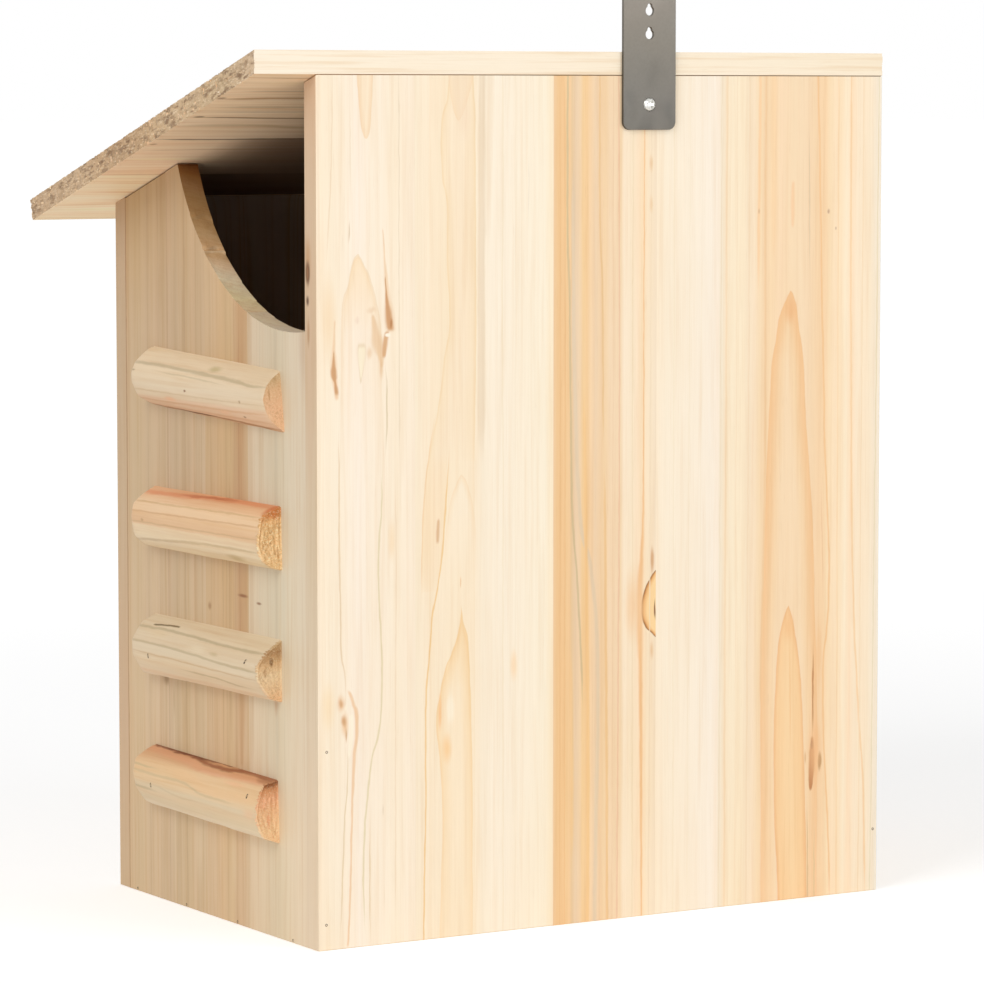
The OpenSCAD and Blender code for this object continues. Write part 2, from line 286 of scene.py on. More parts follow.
class Wood(Graph):
    """Sawn softwood, painted in layers over a stave's face, with places in millimetres."""

    def __init__(self, name, board, seed, wander):
        super().__init__(bpy.data.materials.new(name))
        self.board, self.seed = board, seed
        offset = self.vector("SUBTRACT", self.place(), tuple(board.origin))
        self.across, self.depth, self.along = (
            self.vector("DOT_PRODUCT", offset, tuple(axis / MM)) for axis in board.axes)
        self.grain = self.combine(self.across, self.depth, self.along)
        normal = self.place("Normal")
        self.turned = [self.vector("DOT_PRODUCT", normal, tuple(axis)) for axis in board.axes]
        shift = self.total(self.remap(self.grained("slow wander"), 0, 1, -wander, wander),
                           self.remap(self.grained("fine wander"), 0, 1, -wander / 2, wander / 2))
        self.side = self.total(self.across, shift)
        ragged = self.vector("MULTIPLY_ADD", self.grained("ragged edge", colour=True),
                             tuple(RAGGED), tuple(-RAGGED / 2))
        self.torn = self.vector("ADD", self.grain, ragged)
        self.torn_side = self.total(self.vector("DOT_PRODUCT", self.torn, (1, 0, 0)),
                                    self.product(shift, 0.5))

    def grained(self, layer, vector=None, colour=False):
        scale, step, detail, rough = NOISES[layer]
        return self.noise(vector or self.grain, scale, self.seed + step, detail, rough, colour)

    def ellipse(self, vector, axes, middle, halves, power, soft):
        scale, shift = [0.0] * 3, [0.0] * 3
        for axis, at, half in zip(axes, middle, halves):
            scale[axis], shift[axis] = 1 / half, -at / half
        reach = self.vector("MULTIPLY_ADD", vector, tuple(scale), tuple(shift))
        return self.soft(self.vector("LENGTH", reach), 1.0, 1.0 - soft, 0.0, power)

    def paint(self, mask, tone_name, light=None):
        self.colour = self.blend(mask, self.colour, tone(tone_name, light or self.board.light))

    def bands(self, stops):
        """Bands that run along the stave, from (place across, tone) pairs."""
        self.colour = self.ramp(self.math("MULTIPLY_ADD", self.depth, BAND_SLANT, self.side),
                                tones(stops, self.board.light))

    def rings(self, pith, deep, spacing, power):
        """Year rings, a 3-D field round a pith line that lies deep behind the face."""
        aside = self.less(self.side, self.curve(self.along, pith))
        behind = self.total(self.depth, self.curve(self.along, deep))
        field = self.math("SQRT", self.total(self.product(aside, aside),
                                             self.product(behind, behind)))
        gaps = self.grained("ring gaps", self.combine(field, self.seed, 0.0))
        turns = self.total(self.math("DIVIDE", field, spacing), self.remap(gaps, 0, 1, -1.6, 1.6))
        turn = self.math("FRACT", turns)
        line = self.product(self.remap(turn, 0.3, 0.9), self.remap(turn, 1.0, 0.93))
        strength = self.remap(self.grained("ring power"), 0.35, 0.65, 0.15, 1.0)
        line = self.product(self.product(line, line), strength)
        self.colour = self.tint(self.product(line, power), self.colour, tone("ring"))

    def arch(self, left, right, power, stops):
        """A pointed figure between a left and a right line, toned from its outline inwards."""
        within = self.math("MINIMUM", self.less(self.torn_side, self.curve(self.along, left)),
                           self.less(self.curve(self.along, right), self.torn_side))
        body = self.ramp(within, tones(stops, self.board.light))
        power = self.curve(self.along, power) if isinstance(power, list) else power
        mask = self.product(self.soft(within, 0.0, 0.6), power)
        self.colour = self.blend(mask, self.colour, body)

    def stroke(self, points, half, tone_name, power=0.8, soft=0.8):
        """A line along the stave, with one half width and fading ends, or half widths of its
        own."""
        start, stop = points[0][0], points[-1][0]
        away = self.math("ABSOLUTE", self.less(self.torn_side, self.curve(self.along, points)))
        shaped = isinstance(half, list)
        reach = 2.0 if shaped else min(25.0, (stop - start) / 2.5)
        fade = self.product(self.soft(self.along, start, start + reach),
                            self.soft(self.along, stop, stop - reach))
        width = (self.curve(self.along, half) if shaped
                 else self.math("MULTIPLY_ADD", fade, 0.6 * half, 0.4 * half))
        mask = self.soft(self.math("DIVIDE", away, width), 1.0, 1.0 - soft, 0.0, power)
        self.paint(self.product(mask, fade), tone_name)

    def mark(self, a, z, half_a, half_z, tone_name, power=0.8, soft=0.9):
        """An ellipse on the face."""
        vector = self.torn if half_z > LEAST_RAGGED else self.grain
        mask = self.ellipse(vector, (0, 2), (a, z), (half_a, half_z), power, soft)
        self.paint(mask, tone_name)

    def narrow_side(self, stops, light, spots):
        """The narrow side of the outermost stave, with spots at (depth, height)."""
        facing = self.remap(self.turned[0], -0.5, -0.9)
        self.colour = self.blend(facing, self.colour, self.ramp(self.along, tones(stops, light)))

        def spot(d, z, half_d, half_z, tone_name, power=0.8, soft=0.9):
            mask = self.ellipse(self.torn, (1, 2), (d, z), (half_d, half_z), power, soft)
            self.paint(self.product(mask, facing), tone_name, light)
        for row in spots:
            spot(*row)

    def round_cut(self, stops):
        """The face of the mouth's round cut, with the saw's fine teeth."""
        slant = self.math("MULTIPLY_ADD", self.depth, BAND_SLANT, self.along)
        sawn = self.ramp(slant, tones(stops, CUT_SHADE))
        teeth = self.grained("saw teeth", self.combine(slant, self.depth, 0.0))
        sawn = self.tint(self.remap(teeth, 0.45, 0.75, 0.0, 0.3), sawn, tone("saw"))
        flat = self.math("ABSOLUTE", self.turned[1])
        self.colour = self.blend(self.remap(flat, 0.6, 0.3), self.colour, sawn)

    def fibres(self, streaks):
        """Broad blush, pale streaks, fine strands and short dark resin ducts."""
        self.blush = self.grained("blush")
        self.colour = self.tint(self.remap(self.blush, 0.45, 0.75, 0.0, 0.12), self.colour,
                                tone("blush"))
        self.colour = self.tint(self.remap(self.grained("streaks"), 0.48, 0.72, 0.0, streaks),
                                self.colour, tone("streak"))
        self.strands = self.grained("strands")
        shade = self.product(self.remap(self.strands, 0.25, 0.75, 0.972, 1.016),
                             self.remap(self.grained("ducts"), 0.68, 0.78, 1.0, 0.95))
        warm = self.node("CombineColor", {0: shade, 1: self.math("POWER", shade, 1.4),
                                          2: self.math("POWER", shade, 2.0)}).outputs[0]
        self.colour = self.tint(1.0, self.colour, warm)

    def sawn_end(self, scale, detail, rough):
        """Prepares the mask and the torn grain of the stave's ends."""
        end = self.math("ABSOLUTE", self.turned[2])
        self.end = self.soft(end, 0.35, 0.8)
        self.end_scale = scale
        self.torn_ends = self.noise(self.grain, (*scale, 0.25), self.seed + 8, detail, rough)

    def torn_end(self, stops, light, dark, dark_power, pale_power, spots, fray):
        """A sawn or split end: torn fibres, darker slivers, pale threads and open pores."""
        bent = self.total(self.torn_side, self.product(self.depth, 0.15))
        colour = self.ramp(bent, tones(stops, light))

        def spot(a, d, half_a, half_d, tone_name, power=0.8, soft=0.8):
            mask = self.ellipse(self.torn, (0, 1), (a, d), (half_a, half_d), power, soft)
            return self.blend(mask, colour, tone(tone_name, light))
        for row in spots:
            colour = spot(*row)
        scale = (*(2.2 * s for s in self.end_scale), 0.3)
        speck = self.noise(self.grain, scale, self.seed + 12, detail=3.0, rough=0.7)
        clump = self.remap(self.grained("clumps"), 0.4, 0.6, 0.3, 1.0)
        slivers = self.product(clump, self.remap(self.torn_ends, 0.48, 0.58, 0.0, dark_power))
        for mask, tone_name in (
                (slivers, dark), (self.remap(speck, 0.55, 0.68, 0.0, pale_power), "spark"),
                (self.remap(speck, 0.42, 0.33, 0.0, dark_power * 0.8), dark)):
            colour = self.blend(mask, colour, tone(tone_name, light))
        if fray:
            near, reach = fray
            bitten = self.less(self.along, self.remap(self.torn_ends, 0.35, 0.65, 0.0, reach))
            self.end = self.math("MAXIMUM", self.end, self.remap(bitten, near + 0.4, near))
        self.colour = self.blend(self.end, self.colour, colour)

    # Painted shade: lays the tone of the box's deep inner shade over the colour
    def paint_shade(self, mask):
        self.colour = self.blend(mask, self.colour, tone("room_shade"))


def wood(name, board, seed, bands, arches=(), strokes=(), marks=(), spots=(), rings=None,
         drift=None, wander=1.0, ends=None, end_spots=(), edge=None, cut=None, inner_shade=0.0,
         streaks=0.2, indoor_shade=None, end_grain=END_GRAIN, fray=None):
    """A stave's material, built layer by layer: each argument holds what Wood's method of that
    layer takes. drift tints the stave along its length; on the mouth wall it is painted shade,
    darker towards the top under the roof. The darkening of the inner face, and of the underside
    indoors, is painted shade too: the deep shade of a closed box."""
    g = Wood(name, board, seed, wander)
    g.bands(bands)
    if rings:
        g.rings(*rings)
    for rows, draw in ((arches, g.arch), (strokes, g.stroke), (marks, g.mark)):
        for row in rows:
            draw(*row)
    if drift:
        g.colour = g.tint(1.0, g.colour, g.ramp(g.along, tones(drift, 1.0)))
    if edge:
        g.narrow_side(*edge, spots)
    if cut:
        g.round_cut(cut)
    g.fibres(streaks)
    *scale, detail, rough = end_grain
    g.sawn_end(scale, detail, rough)
    if ends:
        g.torn_end(*ends, end_spots, fray)
    else:
        g.colour = g.tint(g.product(g.end, 0.5), g.colour, tone("end"))
    # Painted shade on the underside indoors, growing along the stave as its curve gives
    if indoor_shade:
        below = g.remap(g.turned[1], -0.4, -0.8)
        indoors = g.product(below, g.remap(g.across, ROOM_DEPTH, ROOM_DEPTH - 1))
        g.paint_shade(g.product(indoors, g.curve(g.along, indoor_shade)))
    # Painted shade on the inner face
    if inner_shade:
        g.paint_shade(g.remap(g.turned[1], 0.4, 0.8, 0.0, inner_shade))
    height = g.total(g.product(g.strands, 0.5), g.product(g.torn_ends, g.end))
    roughness = g.remap(g.blush, 0.3, 0.7, 0.5, 0.66)
    return g.finish(g.colour, roughness, height, WOOD_LIFT, specular=WOOD_SHINE)


# The back wall: places across from the mouth wall's outer face and heights, in millimetres
BACK_STAVES = {1: dict(
    bands=[(0, "F6E3C8"), (2, "FBEAD0"), (8, "F9EAD2"), (14, "FAEBD5"), (20, "FAECDA"),
        (26, "F9EAD4"), (32, "FAEBD5"), (38, "F9E9D0"), (44, "FAEAD3"), (48, "F7E6CE")],
    arches=[
        ([(343, 24), (346, 22), (355, 20.5), (370, 19.3)], [(343, 24), (346, 26), (355, 27),
         (370, 27.7)], 0.95, [(0, "F0D0A6"), (0.6, "F4D9B6"), (2.5, "F9E5C8")]),
        ([(200, 10.4), (234, 11.3), (257, 11.5), (273, 12), (281, 14.5), (291, 17), (295, 20.5)],
         [(200, 33), (250, 31.5), (262, 31.5), (274, 29.5), (284, 26.5), (289, 24), (295, 20.5)],
         [(200, 0.1), (235, 0.5), (262, 0.8), (295, 0.95)], [(0, "EBCFA8"), (0.7, "F4DEC0"),
         (3, "FAE9D3")]),
        ([(262, 13), (273, 13), (281, 15), (291, 17.5), (294, 20.5)], [(262, 30), (274, 28.7),
         (284, 25.7), (289, 23.5), (294, 20.5)], [(262, 0), (278, 0.6), (294, 1)], [(0, "F0D2A8"),
         (1, "F7DFBC"), (3, "F9E2C2")]),
    ],
    strokes=[
        ([(100, 12.5), (113, 13.5), (125, 11.5), (153, 11), (181, 10.5), (226, 10.5)], 0.6,
         "E6CCA8"),
        ([(0, 14), (14, 15), (41, 16), (69, 17), (83, 17.8), (97, 19), (104, 17.5), (111, 14.5)],
         [(0, 0.7), (60, 0.8), (85, 1.2), (100, 1.5), (111, 0.5)], "EEC8A0", 0.85),
        ([(0, 25), (27, 22), (48, 22.5), (64, 24), (80, 26), (92, 29.5), (110, 31), (166, 29.5),
         (187, 31), (212, 31.5)], 0.7, "E4D4AE", 0.85),
        ([(0, 10), (14, 11), (35, 12), (56, 13), (76, 14.5), (95, 13.5)], 0.55, "E6D0AC", 0.85),
        ([(-6, 26), (26, 25), (62, 25.5)], 0.45, "E8D3B0"),
        ([(5, 37.5), (207, 38)], 0.45, "EED7B8", 0.7),
        ([(200, 40), (380, 40)], 0.45, "EAD7BA"),
        ([(283, 4.5), (293, 5), (317, 6.5), (340, 7.5), (380, 8)], 0.5, "EFD9BA"),
        ([(312, 16.5), (345, 16.3), (365, 16)], 0.4, "EFDDC2"),
        ([(298, 15.4), (310, 16.1)], 0.5, "DEC6A8"),
        ([(205, 32.5), (227, 34), (245, 33.5), (252, 29.5)], 0.55, "D9C4A0", 0.8, 0.7),
        ([(261, 36), (270, 35), (285, 33.6), (306, 32)], [(261, 1.8), (266, 3.8), (276, 2.2),
         (290, 0.9), (306, 0.4)], "ECCBA4", 0.8, 0.95),
        ([(261.5, 35.9), (266, 35.2), (272, 34.4), (279, 33.7), (286, 33.2)], [(261.5, 1),
         (264, 2.5), (269, 2.3), (274, 1.3), (279, 0.6), (286, 0.2)], "CC9868", 0.95),
        ([(233, 9.8), (240, 9), (247, 8.2), (268, 8.8)], [(233, 1.2), (239, 1.8), (247, 2.4),
         (256, 1.2), (268, 0.6)], "EBC59C", 0.8, 0.9),
        ([(235, 9.8), (240, 9.2), (246, 8.2), (255, 8.4)], [(235, 1), (238, 1.3), (241, 0.8),
         (244, 2.2), (248, 1.4), (255, 0.3)], "CE9C6E", 0.95),
        ([(246, 31.5), (252, 31), (257, 29.5), (262, 28.6), (270, 27)], [(246, 0.8), (251, 2.2),
         (256, 4.2), (262, 2.8), (270, 0.8)], "EAC9A2", 0.85),
        ([(250, 32.4), (254, 32.8), (258, 33.2), (263, 34.6)], [(250, 0.5), (254, 1.6), (258, 1.8),
         (263, 0.5)], "D6A677", 0.9, 0.75),
        ([(239.5, 21.4), (248, 21.6), (258, 21.8)], [(239.5, 0.3), (246, 1.6), (251, 2.6),
         (255, 2.9), (258, 1)], "E3CBA4", 0.6, 0.7),
        ([(241.5, 21.5), (248, 21.7), (256.6, 21.9)], [(241.5, 0.2), (246, 1), (251, 2),
         (254.5, 2.2), (256.6, 0.8)], "F9EBD0", 1, 0.5),
        ([(81, 15), (97, 16.2), (101, 16)], [(81, 0.2), (90, 1.3), (97, 1.5), (101, 0.4)],
         "FDF1DB", 0.95, 0.4),
    ],
    marks=[(6, 268, 5, 24, "F6DDBA"), (26.5, 271, 3.4, 1.8, "ECCFAC", 0.7),
        (25.5, 253, 2.2, 3.5, "EBCBA6", 0.7), (31.2, 246, 1.4, 6, "E6C298", 0.7),
        (34.3, 260.4, 1.9, 1.1, "FEF3E0", 0.95, 0.6), (19.5, 267, 1.6, 2.2, "F0D8C0", 0.7),
        (36, 265, 0.9, 3, "B9804F", 0.8, 0.8), (11.2, 105, 2.8, 5, "E9BE90"),
        (13, 96, 2.6, 7, "EBC295"), (11.2, 105, 1.6, 2.8, "D6A67A", 0.85),
        (12.6, 97.5, 1.8, 3.4, "D09E70", 0.85), (13.6, 91.5, 0.7, 4.5, "CFA072"),
        (13.4, 103, 0.8, 1.6, "FBEDD4", 0.9, 0.6), (36, 173, 2.6, 12, "F6DDBA", 0.85),
        (31.6, 58, 0.5, 4, "E8D6BC", 0.8, 0.8), (5, 104, 4.5, 14, "F9E1BC")],
    edge=([(0, "E0CBB0"), (90, "D6C2A6"), (180, "D0BC9F"), (250, "C9AE8F"), (320, "CDB294"),
        (370, "CDAD8E")], SHADE),
    spots=[(5.5, 250, 4, 90, "CDB092", 0.5), (5, 40, 9, 110, "DFCAAE", 0.7),
        (7.2, 292, 3.4, 15, "B98C62", 0.75), (7.4, 287, 2.6, 6.6, "5E3E24", 0.9, 0.6),
        (7.6, 287, 1.5, 4.4, "8E6440", 0.9, 0.7), (7.6, 275.3, 1.8, 3.4, "563620", 0.9, 0.8),
        (7, 262, 1.6, 9, "A87C54", 0.7, 0.8)],
), 2: dict(
    bands=[(47.5, "F7E7CD"), (53, "F9E7CC"), (59, "F8E7CC"), (65, "F9E7CA"), (71, "F9E7CA"),
        (78, "F9E8CE"), (81, "F7E8D0"), (85, "FAECD6"), (92, "F9EBD5"), (100, "FAECD5"),
        (112, "FAEDD5"), (114.5, "FAE9CC"), (116.5, "FBE9CA")],
    arches=[
        ([(150, 50.5), (173, 51), (190, 52), (209, 54.5)], [(150, 58), (167, 61), (190, 62.8),
         (209, 64)], [(150, 0), (165, 0.8), (190, 0.9), (209, 0.3)], [(0, "F3D6AE"),
         (0.7, "F7DFBC"), (4, "F8E0BE")]),
        ([(205, 54), (209, 54.5), (232, 59), (250, 61.5), (268, 64), (292, 63), (314, 63),
         (328, 60.5), (346, 60), (360, 63), (370, 64)], [(205, 77.3), (290, 78), (370, 76.5)],
         [(205, 0.3), (235, 0.9), (370, 0.95)], [(0, "EFCF9F"), (0.5, "F3D9B0"), (1.4, "F7E1C0"),
         (6, "F8E4C7")]),
        ([(350, 69), (353, 67), (358, 65.5), (370, 63.5)], [(350, 69), (353, 71.5), (358, 73.5),
         (370, 77)], 0.9, [(0, "F3D5AF"), (1, "F5DCBA"), (3, "F5DEBF")]),
        ([(150, 60), (170, 62), (185, 64), (193, 66.5), (200, 70.5)], [(150, 78), (178, 77.5),
         (193, 74.5), (200, 70.5)], [(150, 0), (172, 0.35), (200, 0.95)], [(0, "EFCDA0"),
         (0.6, "F6DEBC"), (3, "F9E9D0")]),
        ([(0, 59), (30, 60), (52, 60.5), (80, 59), (94, 57.5), (105, 59), (116, 61.5), (123, 65),
         (136, 69), (145, 70)], [(0, 76), (64, 76), (107, 75), (127, 74), (136, 71.5), (145, 70)],
         [(0, 0.5), (60, 0.8), (110, 1)], [(0, "F0C890"), (0.5, "F4D2A0"), (1.5, "F7DCB4"),
         (6, "F9E5C6")]),
        ([(112, 61), (123, 65.5), (136, 69.4), (144, 70)], [(112, 75), (127, 73.5), (136, 71),
         (144, 70)], [(108, 0), (122, 0.6), (144, 0.9)], [(0, "F2CD98"), (2, "F6D8AC"),
         (5, "F8DDB4")]),
    ],
    strokes=[
        ([(-20, 51), (38, 52), (59, 52.5), (102, 52.5), (120, 54), (137, 55.5), (150, 58),
         (167, 61), (190, 63), (215, 65)], 0.6, "F0CB95", 0.95, 0.7),
        ([(140, 50.5), (173, 51), (190, 52), (209, 54.5), (232, 59)], 0.5, "F2D3A8", 0.9, 0.7),
        ([(200, 80.5), (250, 80.3), (320, 80.6), (390, 81)], 2.4, "ECD8BC", 0.9, 0.6),
        ([(290, 83.5), (330, 84), (390, 84)], 2, "F4E2C8"),
        ([(-20, 91), (390, 91)], 0.6, "F4E4C8"),
        ([(-20, 97), (390, 97.5)], 0.5, "F6E7CE", 0.7),
        ([(150, 69.8), (157, 70)], 0.4, "EBC290"),
        ([(170, 58.6), (174, 58.7), (178, 58.9), (182, 59.1)], [(170, 0.5), (174, 1.4), (178, 1.2),
         (182, 0.4)], "DCB288", 0.85, 0.85),
        ([(300, 104), (342, 104)], 0.3, "EAD9C2", 0.7),
    ],
    marks=[(96.5, 116, 2.6, 9, "F9DCB6", 0.85), (63, 82, 3.4, 9, "F7CE98", 0.85),
        (64.8, 99, 2.7, 9, "FBEDD4", 0.95, 0.7), (59.6, 98, 1.2, 11, "F3C28C", 0.85, 0.8),
        (72, 352, 4.5, 12, "F3DABC", 0.6)],
), 3: dict(
    bands=[(116.5, "EFCBA1"), (118.5, "EFC692"), (121, "F1C793"), (123, "F2CC99"),
        (124.8, "F2CC9C"), (126, "E8C89D"), (128, "EBCFAD"), (130, "F1D3AD"), (131.5, "F3CF9C"),
        (133.5, "F3CC99"), (135.5, "F5D4AA"), (138, "EFD2AF"), (141, "F1D0A6"), (143, "F3D4AA"),
        (145.5, "F4D8B5"), (149.5, "F3D7B3"), (151, "F4D9B4"), (152.8, "FAE7CC"), (157, "F9E6C9"),
        (160, "FBE3C4"), (162.5, "FAE0BB"), (165, "FAE6C8"), (169.5, "F6E3C8")],
    arches=[
        ([(123, 170), (126, 166.5), (129, 163.5), (136, 161.6), (144, 163.2), (150, 166.3),
         (154, 170)], [(123, 176), (154, 176.1)], 1, [(0, "B5793F"), (0.5, "8F5A2C"),
         (1, "C98D50"), (1.8, "F2BE80"), (3.4, "FCD9A2")]),
    ],
    strokes=[
        ([(-30, 119.5), (120, 120), (380, 119.5)], 0.5, "EAB981", 0.5, 0.9),
        ([(-30, 122), (120, 122.5), (380, 121.8)], 0.5, "EEBD86", 0.6),
        ([(90, 132), (123, 130.5), (155, 128.5), (187, 126), (229, 125.3), (248, 125),
         (277, 124.6), (305, 123.6), (390, 124)], 0.9, "D0BA92", 0.8, 0.9),
        ([(-20, 137.6), (40, 138.5), (101, 139.5), (155, 136), (176, 130.5), (231, 127.5),
         (286, 126.6), (340, 127)], 1.5, "E4CDAF", 0.9),
        ([(20, 126), (60, 126), (130, 125)], 1.6, "F2CA94", 0.8, 0.9),
        ([(-20, 134), (60, 134.5), (150, 133.5), (240, 132)], 1.3, "F3C990", 0.9),
        ([(200, 142), (276, 141.5), (295, 140.6), (323, 140), (390, 140)], 0.7, "EBC593", 0.85),
        ([(-20, 144.5), (60, 144.2), (100, 143.8), (150, 143.4), (205, 142.5)], 1.1, "EFC793",
         0.9),
        ([(-20, 149.5), (100, 150), (240, 150.4), (290, 150.2), (390, 149.5)], 0.6, "ECC3A0",
         0.85),
        ([(-20, 147), (390, 147)], 0.4, "EDCDA6", 0.6),
        ([(-20, 162.5), (60, 162), (110, 161.6), (140, 161.2), (158, 162), (200, 163), (390, 163)],
         [(-20, 0.5), (60, 1.2), (110, 1.8), (140, 2.6), (160, 1.5), (200, 0.7), (390, 0.5)],
         "F2C28E", 0.9, 0.9),
        ([(-20, 157.5), (390, 157)], 0.5, "F2DDBB"),
        ([(-20, 166), (390, 166.8)], 0.5, "F2DDBE"),
        ([(130, 169), (142, 169)], 0.45, "7C4C28", 0.9, 0.6),
    ],
    marks=[(157.5, 138, 5.5, 22, "F5CFA4", 0.85, 0.95), (167.6, 158, 1.3, 8, "D6A679", 0.85, 0.8),
        (166.5, 332, 1.3, 5, "EBC79C"), (166.5, 314, 1.3, 5, "EFCFA6"),
        (167.5, 118, 1.4, 6, "E9C193", 0.7)],
    drift=[(0, "FFFFFF"), (20, "FFFFFF"), (60, "FEFDFA"), (110, "FDFBF8"), (260, "FEFEFE"),
        (300, "FFFFFF"), (370, "FFFFFF")],
    wander=0.5,
), 4: dict(
    bands=[(169.5, "FBE9CE"), (175, "FAEBD3"), (183, "FAEBD4"), (190, "FAECD7"), (199, "FAEDDB"),
        (202.5, "FAEAD5")],
    strokes=[
        ([(-20, 179), (390, 178.5)], 0.5, "F6E6CA"),
        ([(-20, 186.5), (390, 187)], 0.5, "F6E6CC"),
        ([(60, 193), (300, 193)], 0.4, "F7E8D0", 0.7),
    ],
    wander=0.5,
), 5: dict(
    bands=[(202.5, "F8EAD4"), (203.8, "F5E6CE"), (206, "F8E3C4"), (209, "FAE9CC"), (215, "FAE7C8"),
        (218, "F6E1C3"), (221, "F9E2C3"), (224, "F7DCB6"), (227, "F4D3AA"), (230, "F8DAB1"),
        (235, "F8DAB5"), (241, "F7DCB7"), (247, "F7DCB8"), (250, "F5D8B3"), (253, "F5D6AE"),
        (256, "F5D3A9"), (259, "F7D5AA"), (262, "F9DEB7"), (265, "FBE1BE"), (268, "FBE2BE"),
        (271, "FCE9CB"), (274, "FCE1BF"), (277, "FBE7CA"), (281, "FBE6C8"), (284, "FAE7CA"),
        (288, "F6E8D2"), (290, "F6EDDC")],
    arches=[
        ([(-10, 225.5), (39, 225.5), (115, 225), (153, 226.5), (190, 227.5), (221, 229),
         (239, 230), (251, 232), (262, 234), (269, 237), (275, 240.5)], [(-10, 257), (100, 256.5),
         (132, 255), (164, 254), (202, 251), (220, 249.5), (238, 248.5), (250, 247), (261, 245),
         (269, 243.7), (275, 240.5)], [(-10, 0.5), (120, 0.9), (275, 1)], [(0, "F0C595"),
         (0.8, "F3C592"), (3, "F3CA9A"), (6, "F6D6AC"), (9, "F7DBB6")]),
        ([(-10, 235), (3, 235), (39, 233), (77, 232.5), (102, 233.5), (115, 234.5), (125, 236.5),
         (134, 240.5)], [(-10, 251.7), (37, 250.5), (76, 249), (101, 247.5), (114, 245.5),
         (124, 243.7), (134, 240.5)], 1, [(0, "EAB684"), (0.6, "F1C08C"), (2, "F7CF9C"),
         (8, "F9D7A8")]),
    ],
    strokes=[
        ([(-20, 203.4), (390, 203.4)], 0.5, "EFDDC0"),
        ([(-20, 206.5), (200, 206.2), (390, 206.5)], 0.8, "F3D9B4"),
        ([(-20, 218), (390, 218.4)], 0.6, "F2D9B6"),
        ([(-20, 212), (390, 211.6)], 0.4, "F6E0BF", 0.7),
        ([(268, 223.2), (320, 223.6), (390, 224)], 1.2, "F8D0A0"),
        ([(80, 225), (150, 226.4), (200, 227.3), (269, 227), (390, 227)], 1, "F0CA9C", 0.8, 0.9),
        ([(280, 231.5), (390, 231)], 2.4, "F8D4A6", 0.7, 0.9),
        ([(-10, 264), (11, 263.5), (49, 261.5), (75, 260), (100, 259.5), (119, 261), (145, 262.5),
         (164, 262), (190, 260.5), (213, 259.5), (250, 258.5), (274, 257.5), (298, 257),
         (334, 256), (390, 254)], 0.9, "F2C490", 0.85, 0.9),
        ([(-10, 283.8), (48, 282), (73, 280), (99, 278), (125, 276.5), (190, 274.5), (390, 273)],
         0.8, "F6D0A0", 0.8, 0.9),
        ([(-20, 286), (200, 287.5), (390, 288.5)], 0.5, "EADAB8", 0.85),
        ([(-20, 267.5), (390, 266)], 0.6, "F8D8AC", 0.7),
        ([(-20, 279.5), (390, 280)], 0.45, "F6DDB8"),
        ([(276, 251.2), (284, 251), (355, 250)], 0.5, "E2C8A6"),
        ([(200, 244.5), (255, 243)], 0.4, "F0D0A2", 0.5),
        ([(60, 242), (125, 241)], 0.5, "F4C48E", 0.6),
        ([(302, 241.4), (308, 241.5), (313, 241.5), (324, 241.7)], [(302, 0.4), (308, 1.6),
         (315, 1.8), (324, 0.5)], "F6CDA0", 0.8, 0.9),
        ([(68, 253.4), (82, 254), (101, 254), (120, 254)], 0.65, "C38A58", 0.95, 0.7),
        ([(48, 253), (60, 253.4), (74, 253.8)], [(48, 0.3), (54, 1.5), (63, 1.9), (69, 1.4),
         (74, 0.6)], "BC7D4C", 0.95, 0.5),
        ([(-20, 252), (51, 251)], 0.5, "DBB98C", 0.85),
        ([(-20, 255.4), (40, 255)], 0.5, "E2C294", 0.85),
        ([(130, 259.5), (164, 258.5), (195, 257.5)], 0.4, "EDC498"),
    ],
    marks=[(223.5, 310, 0.8, 1.5, "E0B890", 0.8, 0.8), (261, 310, 0.9, 1.6, "C4A084", 0.85, 0.8),
        (265, 302, 0.6, 1.1, "CDAA8A", 0.8, 0.8), (253.6, 69.5, 1.1, 2.6, "885230", 0.9, 0.6),
        (258, 62, 1.3, 5.5, "B08452", 0.85, 0.6), (250, 64, 0.8, 4, "DDAE7C", 0.7, 0.8),
        (255, 66, 5.5, 20, "F2BE8A", 0.7, 0.95), (257, 110, 2.5, 22, "F3C592", 0.6),
        (240.5, 266, 5, 9, "F0BB86", 0.75), (240.5, 124, 4.5, 10, "F3BF88", 0.6)],
    wander=0.5,
)}

